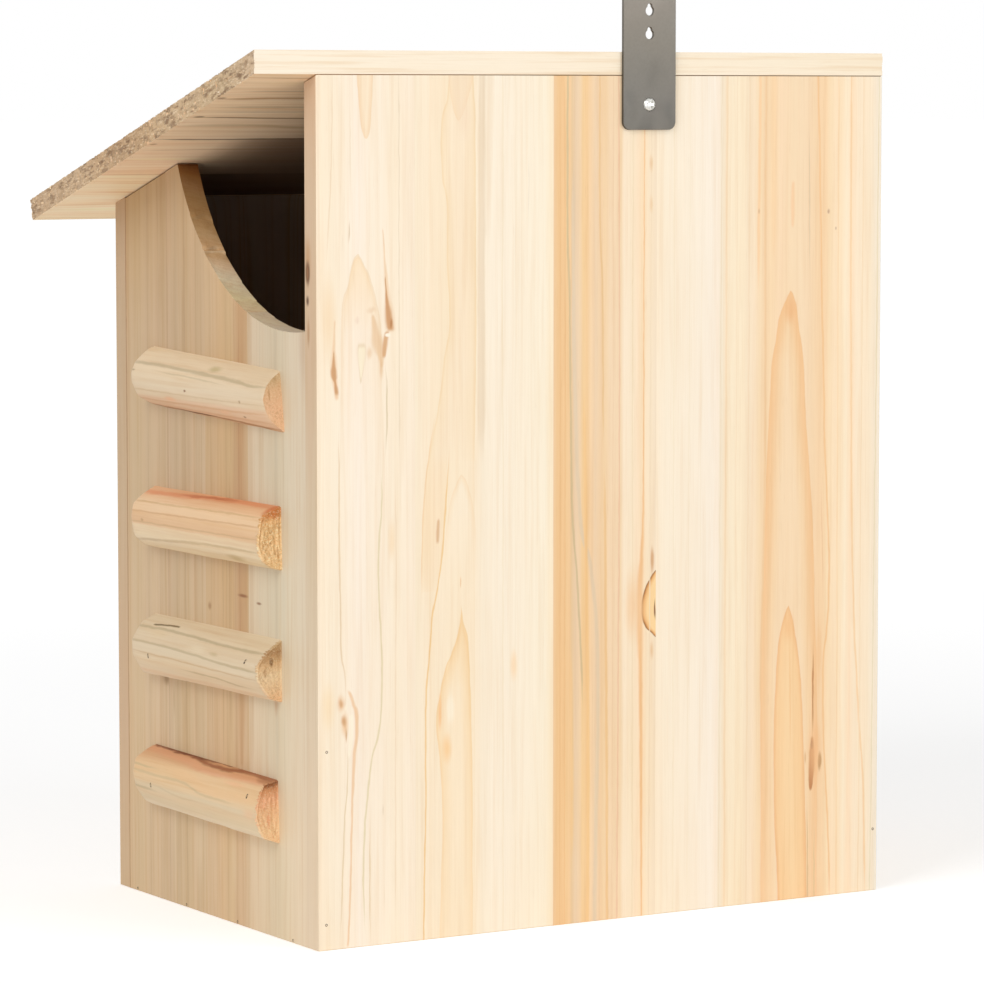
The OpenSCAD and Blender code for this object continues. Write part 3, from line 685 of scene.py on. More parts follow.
# The mouth wall: places from the back wall's outer face
MOUTH_STAVES = {1: dict(
    bands=[(8, "E1CDB2"), (18, "E3CFB2"), (24, "E2CFB2"), (30, "DECCAE"), (36, "D9C6A7"),
        (42, "D9C6A8"), (48, "DCC7A8"), (58, "DDC5A5"), (62, "D7BE9C")],
    strokes=[
        ([(60, 37), (145, 36.3), (205, 36.5), (290, 37)], 2.4, "CDBCA0", 0.5, 0.9),
        ([(-20, 45), (60, 45), (110, 46)], 1.2, "D5BC98", 0.43, 0.9),
        ([(-20, 14), (290, 13)], 0.5, "DCC8AA", 0.43),
        ([(-20, 21), (290, 20)], 0.5, "DDC9AB", 0.43),
        ([(60, 60.4), (145, 59), (205, 60), (300, 60.6)], 2.6, "CFB08A", 0.56, 0.6),
        ([(110, 51.5), (300, 50.5)], 0.5, "C9B596", 0.43),
        ([(30, 29.5), (290, 30)], 0.5, "CFBC9E", 0.37),
    ],
    marks=[(37, 103, 3, 9, "C9A37E", 0.7), (52.5, 143.2, 3.2, 0.9, "8A5C38", 0.85, 0.8),
        (12, 258, 6, 30, "C9A888", 0.5), (30, 150, 5, 30, "DCCBB0", 0.5),
        (50, 220, 5, 25, "D0B592", 0.5)],
    cut=[(240, "AEAAA0"), (262, "AEAAA0"), (266, "ACA694"), (269, "A8A090")],
    # Painted shade: darker towards the top, under the roof
    drift=[(0, "FFFFFF"), (40, "FFFFFF"), (75, "FAFBFC"), (145, "F4F8FB"), (205, "F0F3F6"),
        (270, "EEF0F3")],
), 2: dict(
    bands=[(62, "D3B894"), (66, "D3B692"), (70, "D3B48F"), (74, "CFB08B"), (78, "D5B88F"),
        (82, "D0B28A"), (86, "D6B78F"), (94, "D4B793"), (98, "D2B692"), (102, "D2B692")],
    strokes=[
        ([(70, 69), (100, 68.5), (145, 68), (205, 69), (262, 67), (310, 66)], [(70, 2), (100, 5),
         (145, 9), (205, 9), (310, 8)], "C49C72", 0.7, 0.95),
        ([(-20, 68), (60, 68.6), (110, 69)], 1.4, "C8A47C", 0.5, 0.9),
        ([(70, 79), (150, 79.5), (205, 79)], 1.5, "C09C74", 0.6, 0.9),
        ([(-20, 93), (60, 92.5), (120, 93)], 1.3, "CDAE86", 0.6, 0.9),
        ([(60, 86.5), (140, 86), (190, 86.5)], 0.9, "BE9B74", 0.6, 0.9),
        ([(90, 70.5), (145, 70), (205, 70.5), (270, 70)], 1, "B98E68", 0.43),
        ([(-20, 74), (120, 74), (290, 75)], 0.7, "C29C74", 0.43),
        ([(-20, 82.5), (290, 82.5)], 0.8, "C6A37A", 0.37),
        ([(60, 78), (290, 78)], 0.5, "BE9A72", 0.37),
        ([(60, 96.3), (207, 97), (300, 97)], 0.5, "BE9B74", 0.43),
        ([(-20, 90.5), (300, 90.5)], 0.5, "CBA882", 0.37),
    ],
    marks=[(67.2, 145.2, 6.4, 1.1, "8E5C36", 0.85, 0.8), (98.6, 138, 2.4, 2.6, "A57C54", 0.7),
        (88, 120, 7, 25, "CDAE86", 0.5), (76, 30, 4, 22, "D9BF9A", 0.6)],
    # Painted shade: darker towards the top, under the roof
    drift=[(0, "FFFFFF"), (40, "FDFBF8"), (75, "F8F4EF"), (100, "F6F3EE"), (145, "F0EADF"),
        (205, "ECE8E0"), (258, "EFEAE2"), (300, "F0EAE0")],
    cut=[(264, "AAA08E"), (268.5, "B1A28B"), (274.5, "B2A78B"), (279, "B5A995"), (284.5, "B1A796"),
        (288.5, "AD9F8B"), (292, "9E896C")],
), 3: dict(
    bands=[(102, "D3B894"), (106, "CFB48F"), (110, "CCB18C"), (114, "D3B793"), (118, "CEB48F"),
        (122, "CBB08A"), (126, "CEB490"), (130, "C9AF8B"), (134, "CDB390"), (138, "CFB492")],
    strokes=[
        ([(-20, 106), (250, 105.5), (300, 105)], 0.5, "BFA07A", 0.43),
        ([(60, 112), (140, 112.5), (205, 112)], 1.4, "BF9E76", 0.6, 0.9),
        ([(150, 124), (205, 123.5), (290, 123)], 1.8, "BC9C74", 0.5, 0.9),
        ([(-20, 133), (50, 133.5), (100, 134)], 1.2, "D8BF9B", 0.6, 0.9),
        ([(-20, 111), (340, 110.5)], 0.8, "C4A37C", 0.37),
        ([(-20, 121), (205, 122), (340, 121)], 1.2, "BFA27E", 0.43, 0.9),
        ([(-20, 121.8), (340, 121.4)], 0.4, "B39470", 0.43),
        ([(60, 130), (340, 130.5)], 0.6, "BEA17D", 0.43),
        ([(-20, 126.5), (340, 127)], 0.8, "D2B894", 0.37),
        ([(-20, 138.4), (110, 138.4), (340, 138.4)], 0.8, "B89A78", 0.5),
    ],
    marks=[(118, 200, 4, 20, "C7AA87", 0.5), (134, 92, 1.4, 9, "B99B76", 0.6),
        (123, 88, 1.2, 14, "BFA27C", 0.5), (110, 30, 5, 25, "DCC4A2", 0.5)],
    # Painted shade: darker towards the top, under the roof
    drift=[(0, "FFFFFF"), (75, "FBFBFA"), (145, "F4F2F1"), (205, "EEECEC"), (258, "EEEAE8"),
        (300, "ECE5DE"), (335, "E8DFD4")],
    cut=[(296, "9B8365"), (301, "937E60"), (307.5, "846B4A"), (312, "7D6342"), (318, "785F3E"),
        (322.5, "735738"), (327.5, "654420"), (332, "4A2807")],
), 4: dict(
    bands=[(139, "CFB593"), (142, "CCB28F"), (146, "CEB492"), (150, "D4BA98"), (154, "D3B996"),
        (158, "CFB593"), (162, "D4BA97"), (166, "D2B893"), (170, "D1B792"), (174, "D3B995"),
        (178, "D2B691"), (180, "D0B28D")],
    strokes=[
        ([(60, 141.5), (260, 141)], 1, "BFA27E", 0.37, 0.9),
        ([(-20, 147), (145, 147), (340, 148)], 0.5, "BF9F7A", 0.43),
        ([(-20, 158), (340, 158)], 0.6, "C2A580", 0.43),
        ([(-20, 166.5), (340, 165)], 0.4, "C6A983", 0.43),
        ([(-20, 177), (160, 177.5), (340, 176)], 1.2, "C9AB84", 0.37),
        ([(-20, 179.5), (340, 179.5)], 0.7, "A67C54"),
    ],
    marks=[(141, 101, 5.5, 4.2, "A08058", 0.85)],
    # Painted shade: darker towards the top, under the roof
    drift=[(0, "FFFFFF"), (75, "FFFDFB"), (145, "F7F5F3"), (205, "F0EEEC"), (258, "EEE9E5"),
        (300, "E4DBCD"), (335, "DCD0BE")],
)}

# The roof: places along its slope from the rear, and along its length from the end over the mouth
ROOF_STROKES = [
    ([(-9, 35), (6, 36), (25, 35), (340, 34.6)], 2.4, "96704A", 0.8, 0.9),
    ([(-5, 62), (24, 63.4), (60, 64.8), (340, 65)], 1.5, "76563A", 0.8, 0.9),
    ([(-6, 76), (30, 75), (65, 79), (340, 80)], 3.2, "A88D6A", 0.6, 0.9),
    ([(-9, 93.5), (28, 96.6), (60, 96), (340, 96)], 1.4, "60422A", 0.85, 0.9),
    ([(-4, 13), (60, 14), (340, 12)], 5, "BDA380", 0.6, 0.9),
    ([(-3, 25), (340, 24)], 1.4, "97795A", 0.6),
    ([(-5, 6), (340, 7)], 1, "8F7254", 0.6),
    ([(-3, 48), (340, 50)], 2, "9C8262", 0.5, 0.9),
    ([(-3, 55), (340, 56)], 0.8, "95785A", 0.6),
    ([(-8, 117), (30, 112.5), (340, 113)], 1.1, "AC8B64", 0.6),
    ([(-8, 128), (40, 127), (340, 128)], 2.4, "D3B892", 0.6, 0.9),
    ([(-5, 149.5), (30, 151.5), (340, 152)], 1.1, "B18F68", 0.7),
    ([(-2, 163), (60, 166), (340, 166)], 1.6, "C2A27A", 0.6, 0.9),
    ([(-2, 178), (40, 181), (340, 181)], 1.2, "C09F78", 0.7),
    ([(-2, 197), (340, 199)], 1, "C4A47E", 0.6),
    ([(-2, 209), (340, 207)], 3.5, "DBC3A2", 0.6, 0.9),
]
ROOF_MARKS = [(62.2, 5.2, 1.4, 3, "5A3E26", 0.8, 0.7), (35, 2.5, 2, 3, "6A4A2C", 0.6, 0.7),
    (103.5, 3, 1.4, 2.2, "8A6442", 0.6, 0.7)]
# Ground tones of each roof stave, paler from the rear stave to the front one: painted light, as
# the underside's front gets more light than its rear
ROOF_LIT_TONES = {1: ("C6AC8E", "BFA586"), 2: ("CAB294", "C3A98A"), 3: ("CAB296", "C4AA8C"),
    4: ("CEB498", "C9AD8F"), 5: ("D4BCA0", "D0B696")}
# Painted shade on each roof stave's underside indoors, by length from the end over the mouth
ROOF_INDOOR_SHADE = {1: [(50, 0), (110, 0.25), (319, 0.5)], 2: [(50, 0), (110, 0.3), (319, 0.5)],
    3: [(38, 0), (60, 0.15), (100, 0.45), (319, 0.6)], 4: [(34, 0), (42, 0.25), (55, 0.6),
    (80, 0.8), (319, 0.85)], 5: [(36, 0), (40, 0.85), (319, 0.9)]}
ROOF_PITH = {1: (14, 13), 2: (20, 11), 3: (9.5, 3.4), 4: (27, 5.5), 5: (44, 15)}
ROOF_END = [(0, "CDB191"), (30, "C6AB87"), (62, "CBAE8A"), (96, "C9AA84"), (112, "BE9D78"),
    (150, "C4A37E"), (180, "CDAF8C"), (222, "C6A785")]

# The rungs, top one first: heights from the rung's middle, lengths from the back wall's outer face
RUNG_LOOKS = {1: dict(
    bands=[(-15, "C79A72"), (-13, "DAB08C"), (-10.5, "DDB896"), (-4.6, "DBB997"), (-3, "DAC2A2"),
        (2, "DAC5A7"), (5, "DBC5A6"), (8, "DEC8A8"), (15, "E3CEAE")],
    strokes=[
        ([(20, 4.4), (41, 3.8), (53, 4.8), (70, 5.8), (100, 7.2), (136, 8.6), (170, 9)], 1.1,
         "BDAA88", 0.85),
        ([(60, 2.6), (95, 4.6), (136, 6)], 0.6, "C6B18E", 0.7, 0.9),
        ([(20, -4), (90, -3.6), (170, -3)], 0.7, "CBB08A", 0.6, 0.9),
        ([(20, -7.5), (80, -8), (170, -6.4)], 0.8, "CFA27A", 0.6, 0.9),
        ([(20, -11.4), (60, -11.2), (170, -9.4)], 0.9, "D09F78", 0.6, 0.9),
        ([(20, -14.1), (41, -14.2), (58, -13.5), (81, -12.6), (105, -11.8), (129, -11.2),
         (170, -10)], 0.8, "A5754C", 0.9, 0.7),
        ([(78, -12.4), (107, -11.6), (131, -11)], 0.5, "66401F", 0.9, 0.6),
    ],
    marks=[(9, 81, 1.8, 8, "B7A676", 0.7), (-1.4, 101.6, 0.8, 1.6, "8A5F3C", 0.9, 0.6),
        (-3.4, 51.7, 1, 1.4, "9A7048", 0.6, 0.8), (-10.1, 52.3, 0.8, 1.6, "8A5F3C", 0.7, 0.8),
        (-6, 120, 1.8, 8, "E2AE86", 0.7), (-9, 70, 1.6, 9, "E3B28A", 0.6),
        (5.4, 151, 0.6, 3, "A89470", 0.8, 0.7)],
    ends=([(-14, "E6BA92"), (-4, "E3B892"), (3, "DAB48C"), (8, "C9AB82"), (14, "E2C7A4")], 0.85,
        "B98A5E", 0.45, 0.35),
    end_spots=[(8.5, 3, 4, 1.6, "B3946A", 0.7), (1, 6, 4, 0.7, "B98B60", 0.6),
        (-9, 7, 3.2, 2.4, "EEC8A4", 0.7)],
), 2: dict(
    bands=[(-14, "D9BE96"), (-11, "E0C8A2"), (-7, "E2CCAA"), (-3, "E0C9A6"), (-1, "DFC6A4"),
        (0.5, "DAB68E"), (4, "DAB48C"), (6, "DFBB92"), (8.5, "E3C19A"), (10.5, "E6C49C"),
        (12.5, "E4B88E"), (14, "DCA67A")],
    strokes=[
        ([(20, 5.3), (68, 4.6), (110, 4), (170, 3.2)], 0.6, "C79C72", 0.6),
        ([(20, 9.3), (81, 8.6), (170, 7.4)], 0.6, "C9A574", 0.6),
        ([(20, 13.4), (81, 13), (117, 12.2), (170, 11.2)], 1.3, "D98E62", 0.85),
        ([(60, 13.4), (90, 13), (128, 12.1)], 0.6, "B9683E", 0.7, 0.7),
        ([(20, -0.2), (80, -0.6), (170, -1.4)], 0.6, "C7A47C", 0.7),
        ([(20, -5.8), (80, -6.2), (116, -7.6), (170, -10.6)], 1, "C0A57E", 0.7, 0.9),
        ([(20, -2.4), (170, -3)], 1.4, "E3CDAA", 0.6, 0.9),
    ],
    marks=[(-10.3, 58.7, 2.2, 12, "B2955E", 0.6), (12.4, 33, 3.2, 5, "C9713F", 0.85, 0.8),
        (-0.1, 142, 1, 2, "A8845C", 0.5, 0.8)],
    ends=([(-14, "E0B984"), (-6, "E6C08E"), (4, "E1BA86"), (8.5, "DDAE78"), (11, "CB844E"),
        (14, "C0703A")], 0.8, "A8783C", 0.6, 0.8),
    end_spots=[(10.5, 3, 3, 4, "C4733B", 0.7, 0.9)],
), 3: dict(
    bands=[(-14, "DFC6A2"), (-11, "DFC7A8"), (-6, "DAC2A0"), (-3, "DCC3A0"), (0, "D9C4A5"),
        (3, "D8C5A7"), (7, "D8C2A2"), (10, "D8C2A0"), (14, "DCC8A8")],
    strokes=[
        ([(20, 8.2), (59, 7.7), (82, 8), (118, 8.8), (170, 8.2)], 0.9, "B6A380"),
        ([(20, 0.1), (63, 0.5), (92, 1.7), (123, 2.4), (170, 2)], 0.9, "B9A582", 0.75),
        ([(36, -7.7), (53, -8.2), (71, -7), (96, -6.5), (116, -6.9)], 0.7, "BCA37D", 0.7),
        ([(117, 10.9), (124, 10.7), (132, 10.3), (141, 10)], [(117, 0.2), (124, 0.6), (133, 0.5),
         (141, 0.2)], "7A6540", 0.95, 0.7),
        ([(20, -11.2), (170, -11.2)], 2, "DDB992", 0.5, 0.9),
        ([(20, -3.6), (170, -2)], 0.6, "C5A57E", 0.6, 0.9),
    ],
    marks=[(4.3, 90, 2.2, 14, "E2D2B4", 0.6), (6.8, 130, 2.4, 12, "D8BF98", 0.6),
        (3.8, 74, 1.2, 6, "BFAA84", 0.7)],
    ends=([(-14, "E4B283"), (-8, "DFBB91"), (-1, "DEC39C"), (4, "CDA87C"), (9, "A67F56"),
        (12, "B7976C"), (14, "D8C29C")], 0.8, "9C7044", 0.4, 0.5),
    end_spots=[(4.5, 5, 2.6, 1.4, "6E4824", 0.8, 0.7), (0, 8, 3, 0.8, "9A7048", 0.6)],
), 4: dict(
    bands=[(-14, "E4D0B4"), (-10, "E4D1B4"), (-6, "DAC4A0"), (-2, "DBC09A"), (1, "D8C2A0"),
        (3, "DFC29A"), (8, "E0BE92"), (11.5, "DFBA8E"), (13.6, "D2A074"), (15, "B07850")],
    strokes=[
        ([(20, 4.3), (48, 4.3), (75, 3.3), (100, 6.5), (130, 8)], 4, "E3BB8C", 0.7, 0.9),
        ([(48, 1.1), (83, 0.7), (107, 3.9), (132, 3.7), (170, 4.9)], 1, "C2AC86", 0.5, 0.9),
        ([(84, -2.9), (107, -3.2), (126, -1.5), (144, -0.6)], 0.7, "C6AE88", 0.45, 0.9),
        ([(126, -3.9), (145, -3.3), (170, -2.9)], 1, "B5A17C", 0.6, 0.9),
        ([(126, 6.5), (140, 6.5), (170, 6.9)], 0.9, "BFA980", 0.6, 0.9),
        ([(20, 12.2), (63, 11.6), (81, 10.8), (111, 12.2), (170, 14)], 1.8, "DCA27A", 0.7, 0.9),
        ([(20, 13.8), (63, 13.3), (81, 12.6), (111, 13.8), (140, 14.6), (170, 15.4)], [(20, 2.6),
         (40, 2.4), (50, 1.2), (81, 0.8), (111, 0.8), (140, 0.9), (170, 0.6)], "935734", 0.9),
        ([(20, 14.4), (92, 13.9), (170, 15.6)], 0.6, "6E3E22", 0.8, 0.7),
    ],
    marks=[(-1.7, 42, 3.2, 9, "E3B88E", 0.6), (9, 60, 1.6, 14, "E5B287", 0.6)],
    ends=([(-14, "E8BE90"), (-8, "EAC496"), (1, "E4B68A"), (6, "DFA880"), (9.5, "C98E62"),
        (12, "8E5630"), (15, "6E3E20")], 0.82, "C07C4E", 0.4, 0.6),
    end_spots=[(3, 7, 3, 2, "E9B08A", 0.6), (12.6, 4.5, 3.2, 5, "804A25", 0.95, 0.7),
        (-4, 5, 5, 1.2, "D98E66", 0.6)],
)}


def plain_stave(rng, low, high, length, ground, others):
    """A made-up recipe for a stave that is out of sight from the mouth's side."""
    middle = rng.uniform(low - 6, high + 6)
    wide = rng.uniform(7, 15)
    steps = [k * length / 5 for k in range(6)]
    pith = [(z, middle + rng.uniform(-2.5, 2.5)) for z in steps]
    deep = [(z, wide + rng.uniform(-3.5, 3.5)) for z in steps]
    bands = [(low + (high - low) * k / 8, rng.choice([ground, ground, *others])) for k in range(9)]
    return dict(bands=bands, rings=(pith, deep, rng.uniform(3.0, 5.0), 0.8))


# ---------------------------------------------------------------------------------------------
# Meshes
# ---------------------------------------------------------------------------------------------
BROAD = 25e-6  # faces of this area, in square metres, and more stay flat
CREASE = math.radians(50)
SHARP = math.radians(30)
WALL_EASE, MOUTH_EASE, STEEL_EASE = 0.45 * MM, 0.35 * MM, 0.3 * MM
INNER_SHADE = 0.75  # how far the walls' inner faces are darkened by painted shade


def new_piece(name, bm, material, slot, *nodes, flat=0.9999):
    """Turns a bmesh into a piece that rides on the box and stands for CAD nodes. Broad faces
    stay flat, small ones are smooth up to a sharp angle."""
    bmesh.ops.recalc_face_normals(bm, faces=bm.faces)
    bm.normal_update()
    smooth = [max(abs(c) for c in face.normal) < flat and face.calc_area() < BROAD
              for face in bm.faces]
    mesh = bpy.data.meshes.new(name)
    bm.to_mesh(mesh)
    bm.free()
    mesh.materials.append(material)
    piece = bpy.data.objects.new(name, mesh)
    bpy.context.scene.collection.objects.link(piece)
    mesh.set_sharp_from_angle(angle=CREASE)
    mesh.polygons.foreach_set("use_smooth", smooth)
    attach(piece, "root")
    if nodes:
        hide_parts(*nodes)
    return piece


def solid_of(node):
    """A CAD node's mesh, welded and with its flat faces whole."""
    bm = bmesh.new()
    bm.from_mesh(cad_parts[node].data)
    bmesh.ops.remove_doubles(bm, verts=bm.verts, dist=0.002 * MM)
    bmesh.ops.dissolve_limit(bm, angle_limit=math.radians(0.5), verts=bm.verts, edges=bm.edges)
    return bm


def ease(bm, radius, keep=lambda edge: False):
    """Rounds the sharp edges of a solid, apart from those that keep() names."""
    edges = [e for e in bm.edges if len(e.link_faces) == 2
             and e.calc_face_angle() > SHARP and not keep(e)]
    bmesh.ops.bevel(bm, geom=edges, offset=radius, segments=2, profile=0.5,
                    affect="EDGES", clamp_overlap=True)


def glue_test(axis):
    """Says whether an edge lies on a glue line, a plane square to the axis. The side walls' ends
    are glued to the back and front wall, whose own ends are free."""
    low, high = ((CLOSED_X + 0.1 * MM, MOUTH_X - 0.1 * MM) if axis == 0
                 else (IN_FRONT_Y - 0.1 * MM, IN_BACK_Y + 0.1 * MM))

    def glued(edge):
        a, b = (v.co[axis] for v in edge.verts)
        return abs(a - b) < ON_PLANE and low < a < high
    return glued


def wall_stave(node, axis, material, slot):
    """A stave of a wall, with the wall's own arrises eased and its glue lines flush."""
    bm = solid_of(node)
    glued = glue_test(axis)
    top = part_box(node)[1].z - 0.05 * MM

    def under_roof(edge):
        return all(v.co.z > top for v in edge.verts)

    def indoors(edge):
        return any(all(abs(v.co.y - y) < ON_PLANE for v in edge.verts)
                   for y in (IN_BACK_Y, IN_FRONT_Y))
    ease(bm, WALL_EASE, keep=lambda edge: glued(edge) or under_roof(edge) or indoors(edge))
    return new_piece(node + "_fir", bm, material, slot, node)


for i, recipe in BACK_STAVES.items():
    material = wood(f"fir_back_{i}", BACK, 3.1 * i, inner_shade=INNER_SHADE, **recipe)
    wall_stave(f"back_wall_stave_{i}", 0, material, "fir_back")

# The front wall's narrow side, darker towards the top: painted shadow of the roof
FRONT_EDGE_SHADED = [(0, "CDB18E"), (80, "CBAC8B"), (180, "C4A988"), (260, "BEA383"), (315, "B69674")]
rng = random.Random(41)
for i in range(1, 6):
    low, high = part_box(f"front_wall_stave_{i}")
    recipe = plain_stave(rng, (MOUTH_X - high.x) / MM, (MOUTH_X - low.x) / MM, high.z / MM,
                         rng.choice(["FAEBD3", "FAEDDA", "F8E6C8"]),
                         ["F6DCB6", "F6E0BE", "F8E1C6", "F3E6D2"])
    material = wood(f"fir_front_{i}", FRONT, 40 + i, inner_shade=INNER_SHADE,
                    edge=(FRONT_EDGE_SHADED, SHADE) if i == 1 else None, **recipe)
    wall_stave(f"front_wall_stave_{i}", 0, material, "fir_back")

for i in range(1, 5):
    low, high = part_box(f"closed_wall_stave_{i}")
    recipe = plain_stave(rng, (BACK_Y - high.y) / MM, (BACK_Y - low.y) / MM, high.z / MM,
                         rng.choice(["FAEBD3", "FAEDDA", "F0DCBC"]),
                         ["F6DCB6", "F6E0BE", "F8E1C6"])
    material = wood(f"fir_closed_{i}", CLOSED, 50 + i, inner_shade=INNER_SHADE, **recipe)
    wall_stave(f"closed_wall_stave_{i}", 1, material, "fir_side")


# The mouth's round cut, with the small steps a saw leaves where it was turned
def outline_of(node, x):
    """The CAD node's outline on the plane at x, as ordered (y, z) points."""
    bm = solid_of(node)
    face = max((f for f in bm.faces if all(abs(v.co.x - x) < ON_PLANE for v in f.verts)),
               key=lambda f: f.calc_area())
    points = [v.co.yz for v in face.verts]
    bm.free()
    return points


def circle_through(a, b, c):
    """Middle and radius of the circle through three points."""
    turn = 2 * (a.x * (b.y - c.y) + b.x * (c.y - a.y) + c.x * (a.y - b.y))
    squares = [p.length_squared for p in (a, b, c)]
    x = (squares[0] * (b.y - c.y) + squares[1] * (c.y - a.y) + squares[2] * (a.y - b.y)) / turn
    y = (squares[0] * (c.x - b.x) + squares[1] * (a.x - c.x) + squares[2] * (b.x - a.x)) / turn
    middle = Vector((x, y))
    return middle, (a - middle).length


BELOW_ARC = 0.2  # a height between the stave's foot and the arc
ARC_POINTS = [p for p in outline_of("mouth_wall_stave_2", MOUTH_X) if p.y > BELOW_ARC]
ARC_POINTS.sort(key=lambda p: p.x)
ARC_MIDDLE, ARC_R = circle_through(ARC_POINTS[0], ARC_POINTS[len(ARC_POINTS) // 2], ARC_POINTS[-1])
# Where the saw was turned, in degrees up from the arc's lowest point, and how far it had strayed
SAW_STEPS = [(12, 0.1), (18, 0.3), (22, 0.22), (27, 0.35), (35, 0.3), (45, 0.75), (54, 0.45),
             (64, 0.1)]
SAW_START, SAW_INSET = 2.0, 0.15
MOST_STRAY = 0.9  # how far the cut may leave the circle, in mm
CUT_LAYERS = 8


def saw_wander(angle, across):
    """How far the saw strayed from the round line, in mm, at an angle up from its lowest point."""
    angle = angle + 1.6 * (across - 0.5) + 0.8 * math.sin(across * 7)
    before = SAW_START
    for step, drop in SAW_STEPS:
        if angle < step:
            part = (angle - before) / (step - before)
            return drop * part * part - SAW_INSET
        before = step
    return -SAW_INSET


def cut_place(angle, part, seed, true):
    """A place on the round cut, part of the way through the wall; true ones keep the circle."""
    grit = 0.06 * noise.noise(Vector((angle * 2, part * 3, seed)))
    r = ARC_R if true else ARC_R + min(MOST_STRAY, saw_wander(angle, part) + grit) * MM
    turn = math.radians(angle)
    return (MOUTH_X - WALL_T * part, ARC_MIDDLE.x - r * math.sin(turn),
            ARC_MIDDLE.y - r * math.cos(turn))


def off_arc(point):
    """How far a (y, z) point lies from the round cut."""
    return abs((point - ARC_MIDDLE).length - ARC_R)


def mouth_stave(i, material):
    """A stave of the mouth wall whose part of the round cut is sawn in small steps."""
    node = f"mouth_wall_stave_{i}"
    outline = outline_of(node, MOUTH_X)
    on_arc = [off_arc(p) < SAME_SPOT for p in outline]
    if sum(on_arc) < 2:
        return wall_stave(node, 1, material, "fir_side")
    start = next(k for k in range(len(outline)) if on_arc[k] and not on_arc[k - 1])
    outline = outline[start:] + outline[:start]
    on_arc = on_arc[start:] + on_arc[:start]
    count = next((k for k in range(len(outline)) if not on_arc[k]), len(outline))
    first, last = (math.degrees(math.atan2(-p.x, -p.y))
                   for p in (outline[0] - ARC_MIDDLE, outline[count - 1] - ARC_MIDDLE))
    steps = max(8, round(abs(last - first) * 3))
    bm = bmesh.new()
    grid = [[bm.verts.new(cut_place(first + (last - first) * k / steps, n / CUT_LAYERS, i,
                                    true=k in (0, steps))) for n in range(CUT_LAYERS + 1)]
            for k in range(steps + 1)]
    for here, after in zip(grid, grid[1:]):
        for n in range(CUT_LAYERS):
            bm.faces.new((here[n], here[n + 1], after[n + 1], after[n]))
    outer, inner = ([bm.verts.new((x, p.x, p.y)) for p in outline[count:]]
                    for x in (MOUTH_X, MOUTH_X - WALL_T))
    bm.faces.new([row[0] for row in grid] + outer)
    bm.faces.new([row[-1] for row in grid] + inner)
    bm.faces.new(grid[-1] + [inner[0], outer[0]])
    bm.faces.new(grid[0] + [inner[-1], outer[-1]])
    for k in range(len(outer) - 1):
        bm.faces.new((outer[k], outer[k + 1], inner[k + 1], inner[k]))
    bmesh.ops.recalc_face_normals(bm, faces=bm.faces)
    glued = glue_test(1)

    def leave(edge):
        return (glued(edge) or edge.calc_length() < 3 * MM
                or any(off_arc(v.co.yz) < MM for v in edge.verts))
    ease(bm, MOUTH_EASE, keep=leave)
    return new_piece(node + "_fir", bm, material, "fir_side", node)


for i, recipe in MOUTH_STAVES.items():
    mouth_stave(i, wood(f"fir_mouth_{i}", MOUTH, 60 + i, inner_shade=INNER_SHADE, wander=0.7, streaks=0.35,
                        **recipe))

for i in range(1, 4):
    low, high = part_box(f"floor_stave_{i}")
    recipe = plain_stave(rng, (BACK_Y - high.y) / MM, (BACK_Y - low.y) / MM,
                         (high.x - low.x) / MM, "FAEBD3", ["F6DCB6", "F6E0BE"])
    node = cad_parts[f"floor_stave_{i}"]
    node.data.materials.clear()
    node.data.materials.append(wood(f"fir_floor_{i}", FLOOR, 70 + i, **recipe))


# The roof, whose sawn ends are torn
CELL = 0.5  # width of a cell of the torn ends' grid, in mm
DEEPEST_TEAR = 1.3
SOFTENED = 0.08 * MM


def rough_noise(place, octaves):
    return noise.fractal(place, 0.8, 2.0, octaves, noise_basis="PERLIN_ORIGINAL")


def tear(s, t, seed):
    """How deep an end is torn, in mm, at a place down the slope and up through the board."""
    clump = 0.4 + max(0.0, noise.noise(Vector((s * 0.12, t * 0.3, seed + 9))) + 0.3)
    sliver = noise.noise(Vector((s * 1.4 + t * 0.5, t * 0.5, seed + 5)))
    rough = rough_noise(Vector((s * 0.5, t * 0.3, seed)), 4)
    sink = max(0.0, 0.15 + 0.55 * rough) + max(0.0, sliver - 0.1) * 2.8 * clump
    return min(DEEPEST_TEAR, sink)


def torn_board(section, ends, seed, soft_rear, soft_front):
    """A board between two sawn ends at ends = (right x, left x). Each end is a fine grid that is
    sunk unevenly, fibre by fibre; section runs rear low, rear high, front high, front low."""
    rear_low, rear_high, front_high, front_low = section
    middle = (rear_low + front_high) / 2
    across = max(4, round((front_low - rear_low).length / MM / CELL))
    up = max(4, round((rear_high - rear_low).length / MM / CELL))
    soft = {0: soft_rear, across: soft_front}
    bm = bmesh.new()

    def corner(x, sign, m, n):
        low, high = rear_low.lerp(front_low, m / across), rear_high.lerp(front_high, m / across)
        spot = low.lerp(high, n / up)
        if soft.get(m) and n in (0, up):
            spot = spot.lerp(middle, SOFTENED / spot.length)
        sink = tear((spot - UNDER_REAR).length / MM, n * CELL, seed)
        return bm.verts.new((x - sign * sink * MM, spot.x, spot.y))
    caps = [[[corner(x, sign, m, n) for n in range(up + 1)] for m in range(across + 1)]
            for x, sign in zip(ends, (1, -1))]
    for cap in caps:
        for m in range(across):
            for n in range(up):
                bm.faces.new((cap[m][n], cap[m + 1][n], cap[m + 1][n + 1], cap[m][n + 1]))
    rim = ([(m, 0) for m in range(across)] + [(across, n) for n in range(up)]
           + [(m, up) for m in range(across, 0, -1)] + [(0, n) for n in range(up, 0, -1)])
    for here, after in zip(rim, rim[1:] + rim[:1]):
        bm.faces.new([caps[side][m][n] for side, (m, n) in
                      ((0, here), (0, after), (1, after), (1, here))])
    return bm


